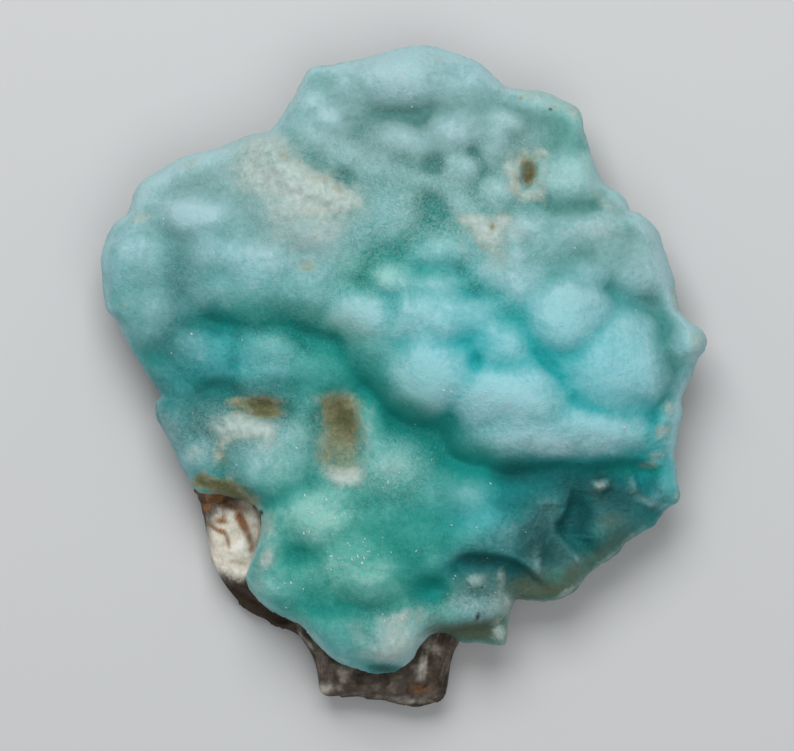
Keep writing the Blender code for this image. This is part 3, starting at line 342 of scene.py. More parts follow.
# Patches on the crust: x, y, half width, half height, turn in degrees, strength
CREAM = [
    (-17.4, 31.4, 1.6, 1.4, 20, 0.45), (-19.8, 31.6, 1.6, 0.9, 15, 0.5), (-20.4, 27.2, 2.0, 3.0, 0, 0.4),
    (-16.2, 26.6, 2.2, 1.9, -20, 1.0), (-14.0, 27.4, 2.0, 1.2, -30, 0.8),
    (-13.2, 25.0, 3.0, 1.5, -20, 0.95), (-10.6, 25.6, 2.2, 1.1, -24, 0.95),
    (-9.6, 24.0, 2.2, 1.2, -20, 0.85), (-7.0, 23.6, 1.2, 1.1, 0, 0.6), (-12.4, 22.6, 2.6, 0.9, -8, 0.45),
    (-15.4, 22.4, 2.0, 1.2, 0, 0.5), (-6.4, 25.2, 1.8, 0.7, 0, 0.35), (10.2, 20.7, 1.6, 1.0, -20, 1.0),
    (11.2, 19.0, 1.5, 1.3, 0, 0.9), (13.2, 21.0, 1.2, 0.9, 30, 0.7), (12.6, 17.6, 1.3, 1.6, 20, 0.4),
    (8.4, 21.0, 1.4, 0.8, -20, 0.5), (8.0, 18.0, 1.0, 2.0, 0, 0.3), (12.2, 15.4, 2.0, 1.2, 0, 0.3),
    (15.4, 19.4, 1.2, 1.4, 0, 0.35), (14.6, 27.8, 1.0, 1.4, 15, 0.7), (14.9, 25.6, 0.9, 1.1, 0, 0.65),
    (17.0, 24.4, 1.7, 0.8, 0, 0.7), (18.6, 25.4, 0.8, 1.2, 0, 0.35), (18.6, 30.3, 1.1, 0.6, -20, 0.65),
    (16.4, 30.5, 0.9, 0.6, 0, 0.5), (19.2, 28.4, 0.6, 1.2, -10, 0.35), (14.6, 30.0, 0.8, 1.0, 0, 0.3),
    (-19.0, -7.0, 1.6, 1.0, -20, 1.0), (-21.6, -6.9, 2.2, 1.3, 0, 0.8), (-22.2, -5.6, 1.4, 0.8, 0, 0.6),
    (-24.8, -6.6, 1.4, 1.2, 0, 0.5), (-23.6, -8.0, 1.4, 0.9, 30, 0.5), (-24.8, -9.6, 1.2, 1.2, 0, 0.35),
    (-25.0, -11.4, 1.2, 1.6, 20, 0.3), (-28.0, -10.2, 1.5, 1.1, 0, 0.5), (-23.0, -13.4, 1.6, 0.9, 20, 0.35),
    (-18.4, -9.2, 1.4, 0.8, 0, 0.4), (-7.6, -13.4, 2.2, 1.3, 0, 1.0), (-9.8, -12.6, 1.3, 0.8, 0, 0.35),
    (-4.6, -6.6, 0.6, 2.6, -10, 0.35), (-4.9, -10.8, 0.6, 1.6, 0, 0.25), (-1.8, -12.3, 1.8, 1.0, 0, 0.3),
    (-18.0, -19.8, 1.2, 1.3, 0, 0.35), (-18.4, -22.4, 0.7, 2.2, 6, 0.4), (-18.5, -24.6, 1.1, 1.4, -20, 0.7),
    (-17.4, -21.0, 0.7, 1.4, 20, 0.3), (-19.4, -27.0, 0.6, 1.6, 20, 0.3), (-20.2, -29.0, 0.5, 1.4, 30, 0.4),
    (-1.8, -36.6, 3.2, 1.9, 6, 0.6), (0.4, -34.2, 2.4, 1.6, 10, 0.4), (-0.4, -32.2, 2.4, 0.8, 10, 0.55),
    (-2.8, -33.0, 1.6, 0.7, -25, 0.35), (3.0, -32.4, 1.8, 1.2, 0, 0.15), (-6.2, -34.6, 1.4, 2.2, 0, 0.25),
    (8.2, -31.0, 3.4, 1.2, 4, 0.12), (6.4, -32.4, 2.4, 0.8, -8, 0.1), (12.4, -29.8, 1.2, 1.2, 0, 0.25),
    (12.6, -31.6, 1.4, 1.0, 0, 0.3), (13.9, -30.8, 0.5, 1.6, 0, 0.6), (12.9, -34.4, 0.9, 1.4, 10, 0.45),
    (13.2, -27.6, 0.5, 1.6, 0, 0.4), (10.0, -27.6, 1.2, 0.9, 0, 0.4), (9.2, -26.8, 0.7, 0.6, 0, 0.3),
    (-35.4, 21.4, 1.6, 0.7, 8, 0.6), (-28.9, 28.6, 1.4, 0.8, 15, 0.5), (35.8, -4.3, 0.8, 1.0, 0, 0.65),
    (35.0, -7.2, 1.1, 0.8, 0, 0.65), (34.2, -8.2, 0.7, 0.5, 0, 0.4), (34.4, -10.6, 1.2, 0.6, 0, 0.55),
    (33.8, -11.6, 1.4, 0.4, 0, 0.35), (36.9, -16.0, 0.45, 0.8, 0, 0.55), (36.6, 10.6, 0.6, 1.8, 8, 0.5),
    (19.0, 37.5, 4.6, 1.0, -16, 0.45), (23.2, 36.0, 0.8, 1.0, -40, 0.5), (27.6, 23.2, 2.4, 0.8, -36, 0.4),
    (25.0, 19.8, 3.6, 1.4, 8, 0.3), (4.6, 42.6, 1.8, 0.9, -12, 0.4), (39.7, 5.1, 1.3, 1.6, 0, 0.6),
    (26.6, -14.6, 1.1, 0.7, 8, 0.5), (-19.0, 28.6, 4.4, 3.4, 10, 0.5), (-13.0, 24.8, 6.0, 3.2, -24, 0.6),
    (-9.0, 24.6, 3.4, 1.8, -20, 0.3), (-15.0, 21.6, 4.6, 2.4, 0, 0.2), (11.4, 19.8, 2.6, 2.0, 0, 0.45),
    (16.4, 27.4, 3.0, 3.0, 0, 0.35), (-21.4, -6.8, 3.6, 1.8, 0, 0.25), (-10.6, 20.0, 3.0, 1.6, 0, 0.25),
    (-8.0, 23.0, 3.6, 1.6, -20, 0.2), (-15.5, 19.5, 4.0, 2.0, 0, 0.25), (-12.0, 18.0, 3.0, 2.0, 0, 0.2),
    (-18.6, 29.6, 3.0, 2.4, 0, 0.4), (13.0, -34.6, 1.5, 1.7, 0, 0.3), (37.0, -16.0, 0.8, 1.2, 0, 0.1),
    (17.5, -30.6, 3.0, 0.5, -2, 0.5), (22.2, -29.0, 2.4, 0.45, 35, 0.5), (26.5, -25.4, 2.6, 0.4, 40, 0.4),
    (31.0, -21.4, 2.6, 0.4, 40, 0.3), (11.0, -36.4, 3.0, 0.5, -3, 0.45), (14.4, -34.6, 0.5, 2.0, 0, 0.45),
]
OCHRE = [
    (16.9, 27.0, 0.75, 1.15, -20, 1.0), (16.6, 28.6, 1.2, 0.8, -30, 0.6), (17.8, 29.6, 1.4, 0.6, 30, 0.35),
    (15.0, 26.6, 0.5, 1.4, 10, 0.35), (14.9, 24.9, 0.8, 0.7, 0, 0.35), (16.6, 23.8, 1.4, 0.5, 0, 0.35),
    (18.8, 23.8, 0.6, 0.9, 0, 0.25), (15.8, 30.0, 0.6, 0.6, 0, 0.25), (-8.6, -4.8, 2.4, 2.0, 0, 0.95),
    (-8.0, -6.8, 2.0, 2.0, 0, 0.75), (-8.8, -9.0, 2.6, 2.4, 0, 0.5), (-7.9, -11.6, 1.9, 1.6, 0, 0.4),
    (-10.6, -10.8, 1.2, 1.4, 0, 0.3), (-9.6, -3.0, 2.4, 0.9, 0, 0.4), (-19.6, -3.6, 2.8, 0.9, 0, 0.95),
    (-18.6, -4.8, 2.2, 0.7, 0, 0.9), (-22.6, -3.4, 1.0, 0.6, 0, 0.45), (-22.4, -4.8, 0.8, 0.6, 0, 0.25),
    (-25.0, -14.6, 3.0, 1.0, -8, 1.0), (-22.4, -16.2, 2.2, 0.9, -25, 1.0), (-27.4, -13.8, 1.0, 1.0, 0, 0.7),
    (-24.6, -16.6, 1.8, 0.9, 0, 1.0), (-24.4, -10.8, 0.9, 1.6, 25, 0.35), (-24.6, -8.6, 0.8, 0.8, 0, 0.3),
    (-8.6, 25.1, 1.1, 0.6, -20, 0.4), (-12.6, 26.7, 1.4, 0.45, -28, 0.25),
    (-16.4, 29.4, 1.2, 0.8, -40, 0.3), (-16.8, 31.6, 0.8, 0.8, 0, 0.15), (-12.0, 22.2, 1.4, 0.4, -8, 0.2),
    (-12.9, 14.9, 1.0, 0.7, 0, 0.35), (11.9, 20.2, 0.5, 0.6, 0, 0.7), (10.6, 17.8, 0.9, 0.9, 0, 0.3),
    (9.8, 19.4, 0.6, 0.6, 0, 0.2), (15.8, 37.5, 0.35, 0.35, 0, 0.7), (17.4, 37.3, 0.25, 0.25, 0, 0.6),
    (20.4, 36.5, 0.8, 0.25, -16, 0.45), (16.4, 38.0, 0.7, 0.25, 0, 0.4), (12.8, -32.8, 1.3, 0.3, 28, 0.5),
    (33.8, -12.0, 1.5, 0.35, 0, 0.4), (-37.8, 9.8, 0.9, 0.6, 0, 0.3), (-19.9, -16.6, 0.5, 1.0, 0, 0.3),
    (-11.6, 27.2, 3.0, 0.6, -32, 0.25), (-16.0, 29.8, 1.4, 0.6, -45, 0.3),
]
GREEN = [
    (19.0, 33.6, 5.6, 5.4, 0, 1.0), (24.0, 27.6, 5.0, 5.0, 0, 0.55), (30.0, 18.0, 6.0, 6.0, 0, 0.4),
    (-26.0, 27.6, 10.0, 4.4, 15, 0.7), (-12.0, 40.0, 6.0, 3.0, 0, 0.35), (1.0, 35.4, 4.6, 2.4, 0, 0.5),
    (-5.0, 14.0, 4.4, 3.2, 0, 0.9), (3.4, 19.0, 4.4, 5.0, 0, 0.8), (-12.0, 5.4, 13.0, 3.6, -20, 1.0),
    (-3.0, -4.0, 7.0, 5.0, -40, 1.0), (5.0, -10.0, 5.0, 3.6, -30, 0.8), (-9.0, -21.0, 12.0, 9.0, 0, 0.9),
    (-4.0, -30.0, 10.0, 6.0, 0, 0.9), (5.0, -28.6, 4.0, 4.4, 0, 1.0), (-14.0, -5.0, 5.0, 5.0, 0, 0.7),
    (25.0, -24.0, 8.0, 3.2, 25, 0.7), (-26.0, -2.0, 5.0, 3.0, 0, 0.3), (-17.6, -12.0, 5.0, 5.0, 0, 0.5),
    (1.0, -20.0, 8.0, 6.0, 0, 0.9), (17.0, -29.0, 5.0, 2.4, 0, 0.6), (-12.0, 28.0, 4.0, 6.0, -40, 0.3),
    (-15.0, 13.0, 6.0, 4.0, 0, 0.4), (4.0, 27.0, 5.0, 4.0, 0, 0.5), (11.0, 25.2, 2.6, 2.6, 0, 0.5),
    (-2.0, -16.0, 9.0, 6.0, 0, 0.9), (-12.0, -24.0, 9.0, 8.0, 0, 0.8), (-8.0, 3.0, 8.0, 4.0, -25, 0.6),
    (0.0, 17.0, 6.0, 4.0, 0, 0.5), (20.0, 33.0, 5.0, 5.0, 0, 0.8), (-18.0, 26.0, 8.0, 5.0, 0, 0.5),
    (25.0, 27.0, 6.0, 8.0, 0, 0.8), (20.0, 33.0, 6.0, 6.0, 0, 0.5), (8.0, 26.0, 7.0, 5.0, 0, 0.5),
    (30.0, 20.0, 4.0, 5.0, 0, 0.5), (17.0, 33.0, 5.0, 4.0, 0, 0.4),
]
BLUE = [
    (22.0, 2.0, 17.0, 9.0, 0, 0.85), (-30.6, 13.0, 2.6, 6.0, 0, 0.9), (-26.6, 21.6, 6.0, 3.0, 0, 0.8),
    (-31.0, 2.6, 5.0, 5.0, 0, 0.65), (20.0, -13.4, 12.0, 3.6, 0, 0.8), (34.0, -14.4, 4.0, 4.0, 0, 1.0),
    (10.4, -25.4, 4.6, 1.8, 0, 0.9), (10.0, 3.0, 3.0, 5.0, 0, 0.9), (35.0, 3.0, 3.0, 9.0, 0, 0.7),
    (28.0, 11.0, 7.0, 3.0, 0, 0.6), (13.0, -18.0, 8.0, 4.0, 0, 0.6), (22.0, -20.0, 3.0, 4.0, 0, 0.5),
    (-36.0, 15.0, 3.4, 5.0, 0, 0.4), (-20.0, 14.6, 6.0, 3.6, 0, 0.3), (4.0, 4.0, 7.0, 8.0, 0, 0.6),
    (-22.0, 3.0, 9.0, 4.0, 0, 0.5), (5.0, 16.4, 4.0, 2.4, 0, 0.4), (28.0, -3.0, 8.0, 6.0, 0, 0.5),
    (33.0, 4.0, 4.0, 10.0, 0, 0.6), (29.0, -13.0, 5.0, 4.0, 0, 0.4), (36.0, -4.0, 1.8, 5.0, 0, 0.4),
    (25.0, -14.2, 5.0, 2.6, 0, 0.35),
]
GREY = [
    (-2.0, 37.0, 16.0, 9.0, 0, 1.0), (-27.0, 24.0, 13.0, 8.0, 10, 0.85), (26.0, 22.0, 9.0, 6.0, -40, 0.6),
    (6.0, 24.0, 8.0, 6.0, 0, 0.35), (-22.0, -8.0, 9.0, 5.0, 0, 0.4), (-36.0, 12.0, 5.0, 8.0, 0, 0.4),
    (-6.0, 32.0, 6.0, 4.0, 0, 0.5), (20.0, -9.0, 7.0, 1.2, 0, 0.5), (28.4, -19.6, 3.4, 2.2, 10, 0.4),
    (19.0, -24.0, 2.6, 3.0, 0, 0.7), (19.4, -18.4, 1.8, 2.0, 0, 0.7), (26.6, -15.0, 1.3, 1.6, 0, 1.0),
    (10.0, -29.0, 4.0, 2.4, 0, 0.7), (-14.0, 18.0, 6.0, 4.0, 0, 0.5), (8.0, -16.0, 4.0, 2.4, 0, 0.3),
    (14.0, 33.0, 10.0, 6.0, 0, 0.7), (34.0, 14.0, 4.0, 9.0, 10, 0.8), (-14.0, 20.0, 7.0, 5.0, 0, 0.6),
    (37.0, 2.0, 3.0, 8.0, 0, 0.7), (2.0, -36.0, 6.0, 4.0, 0, 0.4), (27.0, 14.0, 6.0, 6.0, 0, 0.4),
    (24.0, -8.0, 8.0, 2.0, 0, 0.15), (16.0, 18.0, 6.0, 6.0, 0, 0.6), (20.6, -24.2, 2.0, 1.6, 0, 0.8),
    (23.8, -24.8, 0.8, 1.4, -30, 0.9), (18.0, -25.0, 0.7, 2.2, 0, 0.8), (18.4, -20.0, 2.0, 3.4, 0, 0.3),
    (32.4, -16.4, 2.4, 0.6, -28, 0.9), (30.9, -14.8, 0.6, 1.4, 12, 0.8), (12.0, -27.4, 3.4, 1.6, 0, 0.8),
    (35.0, -15.0, 1.4, 2.4, 0, 0.3), (26.6, -15.6, 1.3, 1.6, 0, 0.8), (-27.0, 27.0, 10.0, 4.6, 15, 0.6),
    (-30.0, 12.0, 4.0, 6.0, 0, 0.5), (0.0, 33.0, 15.0, 9.0, 0, 0.5), (27.0, 20.0, 6.0, 6.0, -40, 0.5),
    (-33.0, 5.0, 4.0, 6.0, 0, 0.4),
]
# Deep teal along the valleys and under the ledge: partly the mineral's own deeper colour, partly painted
# shade
DEEP_AND_SHADE = [
    (-14.2, 6.2, 3.4, 1.2, -25, 1.0), (-20.0, 8.0, 4.0, 1.0, 0, 0.7), (-10.0, 4.0, 2.6, 1.3, -25, 0.8),
    (-6.0, 1.2, 2.6, 2.4, -30, 0.9), (-3.2, -1.6, 2.4, 2.0, -40, 0.9), (0.6, -4.6, 3.4, 1.6, -25, 0.9),
    (6.0, -8.0, 3.0, 2.0, -20, 0.7), (9.0, -11.0, 3.4, 2.4, 0, 0.7), (3.6, -28.8, 2.4, 2.0, 0, 1.0),
    (-32.8, 2.4, 1.6, 1.0, 0, 0.5), (28.6, -12.0, 3.2, 1.3, 0, 0.9), (-7.6, -31.6, 4.2, 0.8, 0, 0.6),
    (4.0, 22.0, 1.8, 2.4, 0, 0.5), (-2.6, 16.2, 2.4, 1.0, -10, 0.5), (-14.6, -3.4, 1.6, 1.6, 0, 0.4),
    (-24.8, -2.0, 2.0, 1.0, 0, 0.5), (33.4, -12.8, 1.6, 0.8, 0, 0.8), (3.0, -20.0, 4.0, 3.0, 0, 0.3),
    (34.6, 4.0, 1.2, 6.0, 0, 0.3), (-27.4, 7.6, 3.4, 1.2, 0, 0.4), (2.0, -7.0, 4.0, 2.4, -20, 0.7),
    (6.0, -11.0, 4.0, 3.0, 0, 0.5), (13.0, -12.0, 5.0, 2.0, 0, 0.5), (-9.0, -0.6, 2.4, 1.4, -30, 0.3),
    (9.0, -12.0, 7.0, 2.6, 0, 0.35), (17.0, -14.0, 6.0, 2.0, 0, 0.25), (5.0, -7.4, 4.0, 1.6, -20, 0.3),
]

# Patches of another kind on the crust, as the ones above: where it is broken, sparkles, has crisp creases,
# has no puffs, and is powdery with cottony tufts; painted highlights and painted shade, where it is given a
# lighter or darker tone than its height makes; murky hollows, partly painted shade; olive and pitch-dark
# hollows; and where the rim is left without its painted rim light
BROKEN = [
    (24.0, -19.0, 12.0, 7.5, 20, 1.0), (10.5, -27.4, 6.0, 3.4, 0, 0.9), (35.0, -8.0, 3.0, 6.0, 0, 0.6),
    (11.0, -34.0, 4.0, 2.6, 0, 0.6), (17.0, -15.0, 9.0, 2.6, 0, 0.5),
]
SPARKLE = [
    (-11.4, -18.4, 4.0, 2.6, 0, 1.0), (-8.6, -24.8, 3.4, 2.0, 0, 1.0), (-15.6, -27.6, 3.0, 2.4, 0, 0.9),
    (-11.0, -33.4, 2.4, 1.6, 0, 0.8), (-1.0, -12.6, 4.4, 3.4, 0, 0.7), (-4.0, -22.6, 3.0, 1.6, 0, 0.6),
    (13.0, -21.4, 4.6, 2.0, 0, 0.35), (11.0, -3.0, 5.0, 3.0, 0, 0.45), (4.0, 0.0, 5.0, 5.0, 0, 0.35),
    (26.0, -6.6, 4.0, 1.6, 0, 0.4), (-18.0, 4.0, 4.0, 2.0, 0, 0.45), (-20.0, -8.0, 5.0, 3.0, 0, 0.4),
    (-28.0, 3.6, 3.0, 2.4, 0, 0.35), (9.0, -28.2, 3.0, 1.6, 0, 0.8), (-1.0, -35.0, 3.0, 2.4, 0, 0.5),
]
CRISP = [
    (24.0, -19.0, 16.0, 10.0, 20, 1.0), (10.5, -26.4, 8.0, 4.0, 0, 1.0), (11.0, -34.0, 6.0, 3.6, 0, 1.0),
    (16.0, 1.0, 21.0, 11.0, 0, 0.9), (16.6, 26.9, 3.0, 3.0, 0, 0.8), (-4.0, 11.0, 8.0, 5.0, 0, 0.5),
    (-19.0, -4.2, 4.0, 1.8, 0, 0.6), (-17.0, -16.0, 6.0, 3.0, 0, 0.8), (22.0, 26.0, 7.0, 7.0, 0, 0.6),
    (4.0, 31.0, 12.0, 7.0, 0, 0.6), (-22.0, 4.4, 10.0, 3.0, 0, 0.5), (0.0, -38.0, 6.0, 3.0, 0, 0.8),
]
SMOOTH = [
    (21.2, 8.2, 6.4, 5.6, 0, 0.85), (28.2, 1.4, 7.4, 7.8, 0, 0.9), (14.4, -2.8, 7.6, 4.6, 0, 0.6),
    (-26.5, 21.8, 6.0, 3.0, 0, 0.7), (22.6, 27.2, 5.0, 4.6, 0, 0.8), (0.0, 37.6, 6.0, 5.6, 0, 0.8),
    (19.0, 34.0, 5.0, 4.0, 0, 0.9), (-29.0, 27.0, 8.0, 3.0, 15, 0.6), (-11.0, 5.4, 12.0, 2.6, -20, 0.9),
    (0.0, -5.0, 7.0, 3.0, -35, 0.9), (20.0, -29.0, 6.0, 3.0, 0, 0.9), (30.0, -22.0, 5.0, 3.0, 30, 0.8),
    (-30.5, 13.0, 2.4, 6.0, 0, 0.8), (4.2, 1.2, 5.4, 5.2, 0, 0.5), (33.0, 12.0, 4.0, 8.0, 0, 0.6),
]
POWDER = [
    (-2.0, 22.0, 9.0, 5.0, 0, 0.9), (-12.0, 24.0, 9.0, 7.0, -30, 0.9), (10.0, 22.0, 7.0, 8.0, 0, 0.9),
    (-3.0, 30.0, 8.0, 4.0, 0, 0.5), (16.0, 30.0, 4.0, 5.0, 0, 0.5), (14.0, 15.0, 5.0, 6.0, 0, 0.6),
    (-20.0, -7.0, 8.0, 4.0, 0, 0.9), (-28.0, -10.0, 3.0, 3.0, 0, 0.7), (-1.2, -12.4, 5.0, 4.0, 0, 0.8),
    (-1.0, -35.0, 5.0, 4.0, 0, 0.7), (10.0, -31.0, 5.0, 2.0, 0, 0.9), (-18.0, 3.0, 5.0, 4.0, 0, 0.5),
    (-36.0, 15.0, 6.0, 8.0, 0, 0.4), (-18.0, 15.0, 9.0, 5.0, 0, 0.5), (14.0, -4.0, 9.0, 4.0, 0, 0.4),
    (-5.0, 10.0, 8.0, 6.0, 0, 0.5), (-30.0, 28.0, 9.0, 3.0, 15, 0.4), (-9.0, -12.0, 4.0, 6.0, 0, 0.5),
]
# Painted highlights: places given a paler tone where the crust is lit
LIGHT = [
    (-5.0, 10.0, 3.4, 1.6, 8, 0.5), (-1.8, 14.0, 1.8, 1.2, 0, 0.5), (4.0, 12.4, 3.4, 0.9, 0, 0.45),
    (3.6, 9.4, 4.4, 1.4, 0, 0.45), (4.0, 2.0, 4.0, 2.6, 0, 0.4), (13.4, 5.6, 1.8, 1.4, 0, 0.15),
    (22.0, 11.2, 3.8, 1.3, -8, 0.65), (20.6, 9.4, 3.0, 1.4, 0, 0.2), (29.4, 6.8, 2.6, 1.4, -10, 0.5),
    (28.4, 3.4, 4.4, 2.4, 0, 0.25), (14.6, 0.2, 4.4, 1.1, -4, 0.55), (13.2, -2.0, 4.4, 1.6, 0, 0.25),
    (16.4, -7.2, 4.2, 1.3, 4, 0.45), (13.0, -9.2, 2.6, 0.8, -6, 0.35), (25.4, -6.2, 4.4, 1.3, -4, 0.4),
    (24.4, 14.2, 1.6, 0.9, 0, 0.35), (15.2, 12.8, 2.2, 2.4, 0, 0.4), (15.0, 17.6, 1.3, 2.4, 0, 0.5),
    (17.0, 20.3, 2.2, 0.9, 0, 0.4), (24.6, 20.2, 3.8, 1.3, 8, 0.45), (11.4, 14.2, 1.6, 1.1, 0, 0.4),
    (5.0, 17.6, 2.6, 1.3, 0, 0.2), (-1.4, 41.2, 3.6, 1.6, 0, 0.6), (3.0, 43.4, 5.6, 1.2, -6, 0.5),
    (6.0, 40.8, 3.6, 1.6, -12, 0.3), (-9.9, 35.4, 1.4, 1.0, 0, 0.8), (-12.0, 37.6, 1.6, 1.1, 0, 0.5),
    (-11.6, 34.0, 1.4, 3.4, 0, 0.25), (0.6, 31.8, 2.6, 1.2, -10, 0.4), (6.4, 33.6, 2.6, 1.1, 0, 0.25),
    (13.6, 34.8, 2.0, 1.0, -6, 0.45), (8.0, 28.6, 1.6, 1.0, 0, 0.2), (12.4, 25.2, 1.6, 1.1, 0, 0.25),
    (21.4, 27.8, 2.6, 1.8, 0, 0.45), (-3.6, 28.2, 2.4, 1.1, 0, 0.25), (-2.0, 23.4, 3.0, 1.6, 0, 0.2),
    (-26.4, 22.0, 2.8, 1.1, 4, 1.0), (-29.8, 21.6, 2.2, 1.1, 0, 0.4), (-20.0, 16.2, 3.6, 1.3, -10, 0.65),
    (-17.0, 14.9, 2.0, 1.0, -10, 0.3), (-35.0, 17.0, 2.4, 1.6, 0, 0.5), (-37.0, 15.0, 2.0, 3.0, 0, 0.25),
    (-11.8, 19.6, 2.8, 1.2, -8, 0.5), (-15.8, 22.2, 2.2, 1.2, 0, 0.5), (-33.6, 9.6, 2.2, 1.6, 0, 0.3),
    (-11.8, 12.6, 2.0, 1.4, 0, 0.3), (-22.0, 26.6, 2.0, 3.0, 0, 0.35), (-28.0, 29.0, 6.0, 1.2, 18, 0.5),
    (-34.4, 25.6, 2.0, 2.4, 50, 0.5), (-21.4, 31.6, 3.4, 1.2, 18, 0.6), (-13.0, 40.6, 2.0, 1.2, 50, 0.5),
    (18.4, 37.6, 5.0, 1.2, -16, 0.9), (23.0, 35.0, 1.0, 2.4, 8, 0.6), (25.6, 27.2, 1.2, 2.4, 20, 0.4),
    (29.0, 23.8, 2.0, 1.0, -40, 0.6), (33.0, 20.4, 1.6, 2.4, 30, 0.6), (35.6, 13.6, 1.0, 4.0, 12, 0.6),
    (39.4, 5.4, 1.6, 1.6, 0, 0.9), (37.4, 8.6, 0.8, 1.6, 30, 0.9), (37.0, -5.0, 0.8, 4.0, 0, 0.5),
    (-28.0, 3.2, 1.8, 1.4, 0, 0.3), (-18.4, 5.0, 2.2, 1.0, 0, 0.35), (-18.4, 1.2, 2.8, 0.8, 0, 0.4),
    (-1.6, -12.4, 2.4, 1.8, 0, 0.9), (-11.6, -18.4, 3.8, 2.6, 0, 0.5), (-8.6, -15.6, 1.6, 1.0, 0, 0.6),
    (-5.6, -25.4, 4.0, 2.4, -20, 0.3), (-16.4, -28.0, 2.0, 1.6, 0, 0.3), (-19.0, -10.8, 2.0, 1.6, 0, 0.7),
    (-14.6, -7.4, 2.0, 1.4, 0, 0.3), (-27.8, -10.2, 1.6, 1.2, 0, 0.9), (-32.0, -5.4, 1.0, 2.6, 0, 0.5),
    (7.6, -15.4, 3.2, 1.4, 0, 0.3), (12.0, -20.6, 3.6, 1.2, 0, 0.15), (-0.8, -35.6, 3.2, 2.2, 10, 0.6),
    (8.0, -31.0, 3.0, 1.1, 6, 0.25), (0.0, 40.0, 11.0, 5.0, 0, 0.35), (24.0, 9.0, 10.0, 12.0, 0, 0.35),
    (6.0, 1.0, 11.0, 6.0, 0, 0.4), (12.0, -5.0, 9.0, 4.0, 0, 0.5), (-28.0, 26.0, 8.0, 5.0, 15, 0.35),
    (-15.0, 19.0, 4.0, 3.0, 0, 0.3), (20.0, 30.0, 5.0, 6.0, 0, 0.2), (-14.0, -22.0, 6.0, 5.0, 0, 0.4),
    (30.0, -3.0, 6.0, 5.0, 0, 0.3), (-9.0, 4.0, 4.0, 2.0, -25, 0.3), (-33.0, 20.0, 5.0, 4.0, 0, 0.25),
    (-30.0, 25.0, 5.0, 3.0, 10, 0.3), (-8.0, 7.0, 5.0, 3.0, -20, 0.4), (-15.0, -23.0, 6.0, 4.0, 0, 0.3),
    (4.0, 6.0, 6.0, 4.0, 0, 0.2), (25.0, 25.0, 3.0, 3.0, 0, 0.2), (23.7, -24.7, 0.6, 1.4, -30, 0.8),
    (19.0, -17.0, 1.8, 0.5, 0, 0.5), (20.2, -19.6, 0.5, 2.0, 0, 0.5), (32.4, -16.5, 2.0, 0.35, -28, 0.8),
    (30.8, -14.6, 0.4, 1.2, 12, 0.6), (26.4, -15.8, 0.6, 1.2, 0, 0.4), (18.0, -24.4, 0.35, 1.8, 0, 0.5),
    (10.0, -27.2, 1.4, 0.8, 20, 0.4), (12.8, -26.6, 0.5, 0.8, 0, 0.6), (28.4, -19.0, 2.2, 1.2, 10, 0.2),
    (3.0, -6.0, 5.0, 2.0, -25, 0.35), (8.0, -9.4, 3.0, 1.6, -20, 0.3), (18.0, -10.8, 7.0, 0.9, 0, 0.25),
    (0.0, 41.4, 9.0, 3.0, 0, 0.2), (-9.0, 36.0, 4.0, 4.0, 0, 0.15), (36.0, 14.0, 2.0, 6.0, 10, 0.35),
    (30.0, 12.0, 4.0, 3.0, 0, 0.25), (-2.0, 37.0, 9.0, 7.0, 0, 0.15), (-17.5, 15.0, 5.0, 2.4, -10, 0.3),
    (-30.0, 21.4, 4.0, 2.0, 0, 0.3), (-21.0, 28.0, 3.0, 3.0, 0, 0.2), (0.0, 13.0, 6.0, 2.0, 0, 0.25),
    (-6.0, 9.0, 4.0, 3.0, 0, 0.2), (30.0, 8.0, 6.0, 9.0, 0, 0.3), (33.0, 15.0, 3.0, 5.0, 10, 0.3),
    (-36.0, 16.0, 4.0, 6.0, 0, 0.1), (9.0, -13.0, 6.0, 3.0, 0, 0.25), (13.4, -34.2, 1.0, 1.4, 0, 0.1),
    (35.6, -6.5, 1.6, 2.4, 0, 0.35), (28.0, -24.4, 1.6, 0.5, 42, 0.4), (22.6, -27.9, 2.4, 0.5, 38, 0.35),
    (26.0, -14.2, 0.35, 0.9, 10, 0.7), (26.9, -13.8, 0.3, 0.8, -8, 0.7), (27.6, -14.2, 0.3, 0.7, -15, 0.6),
]
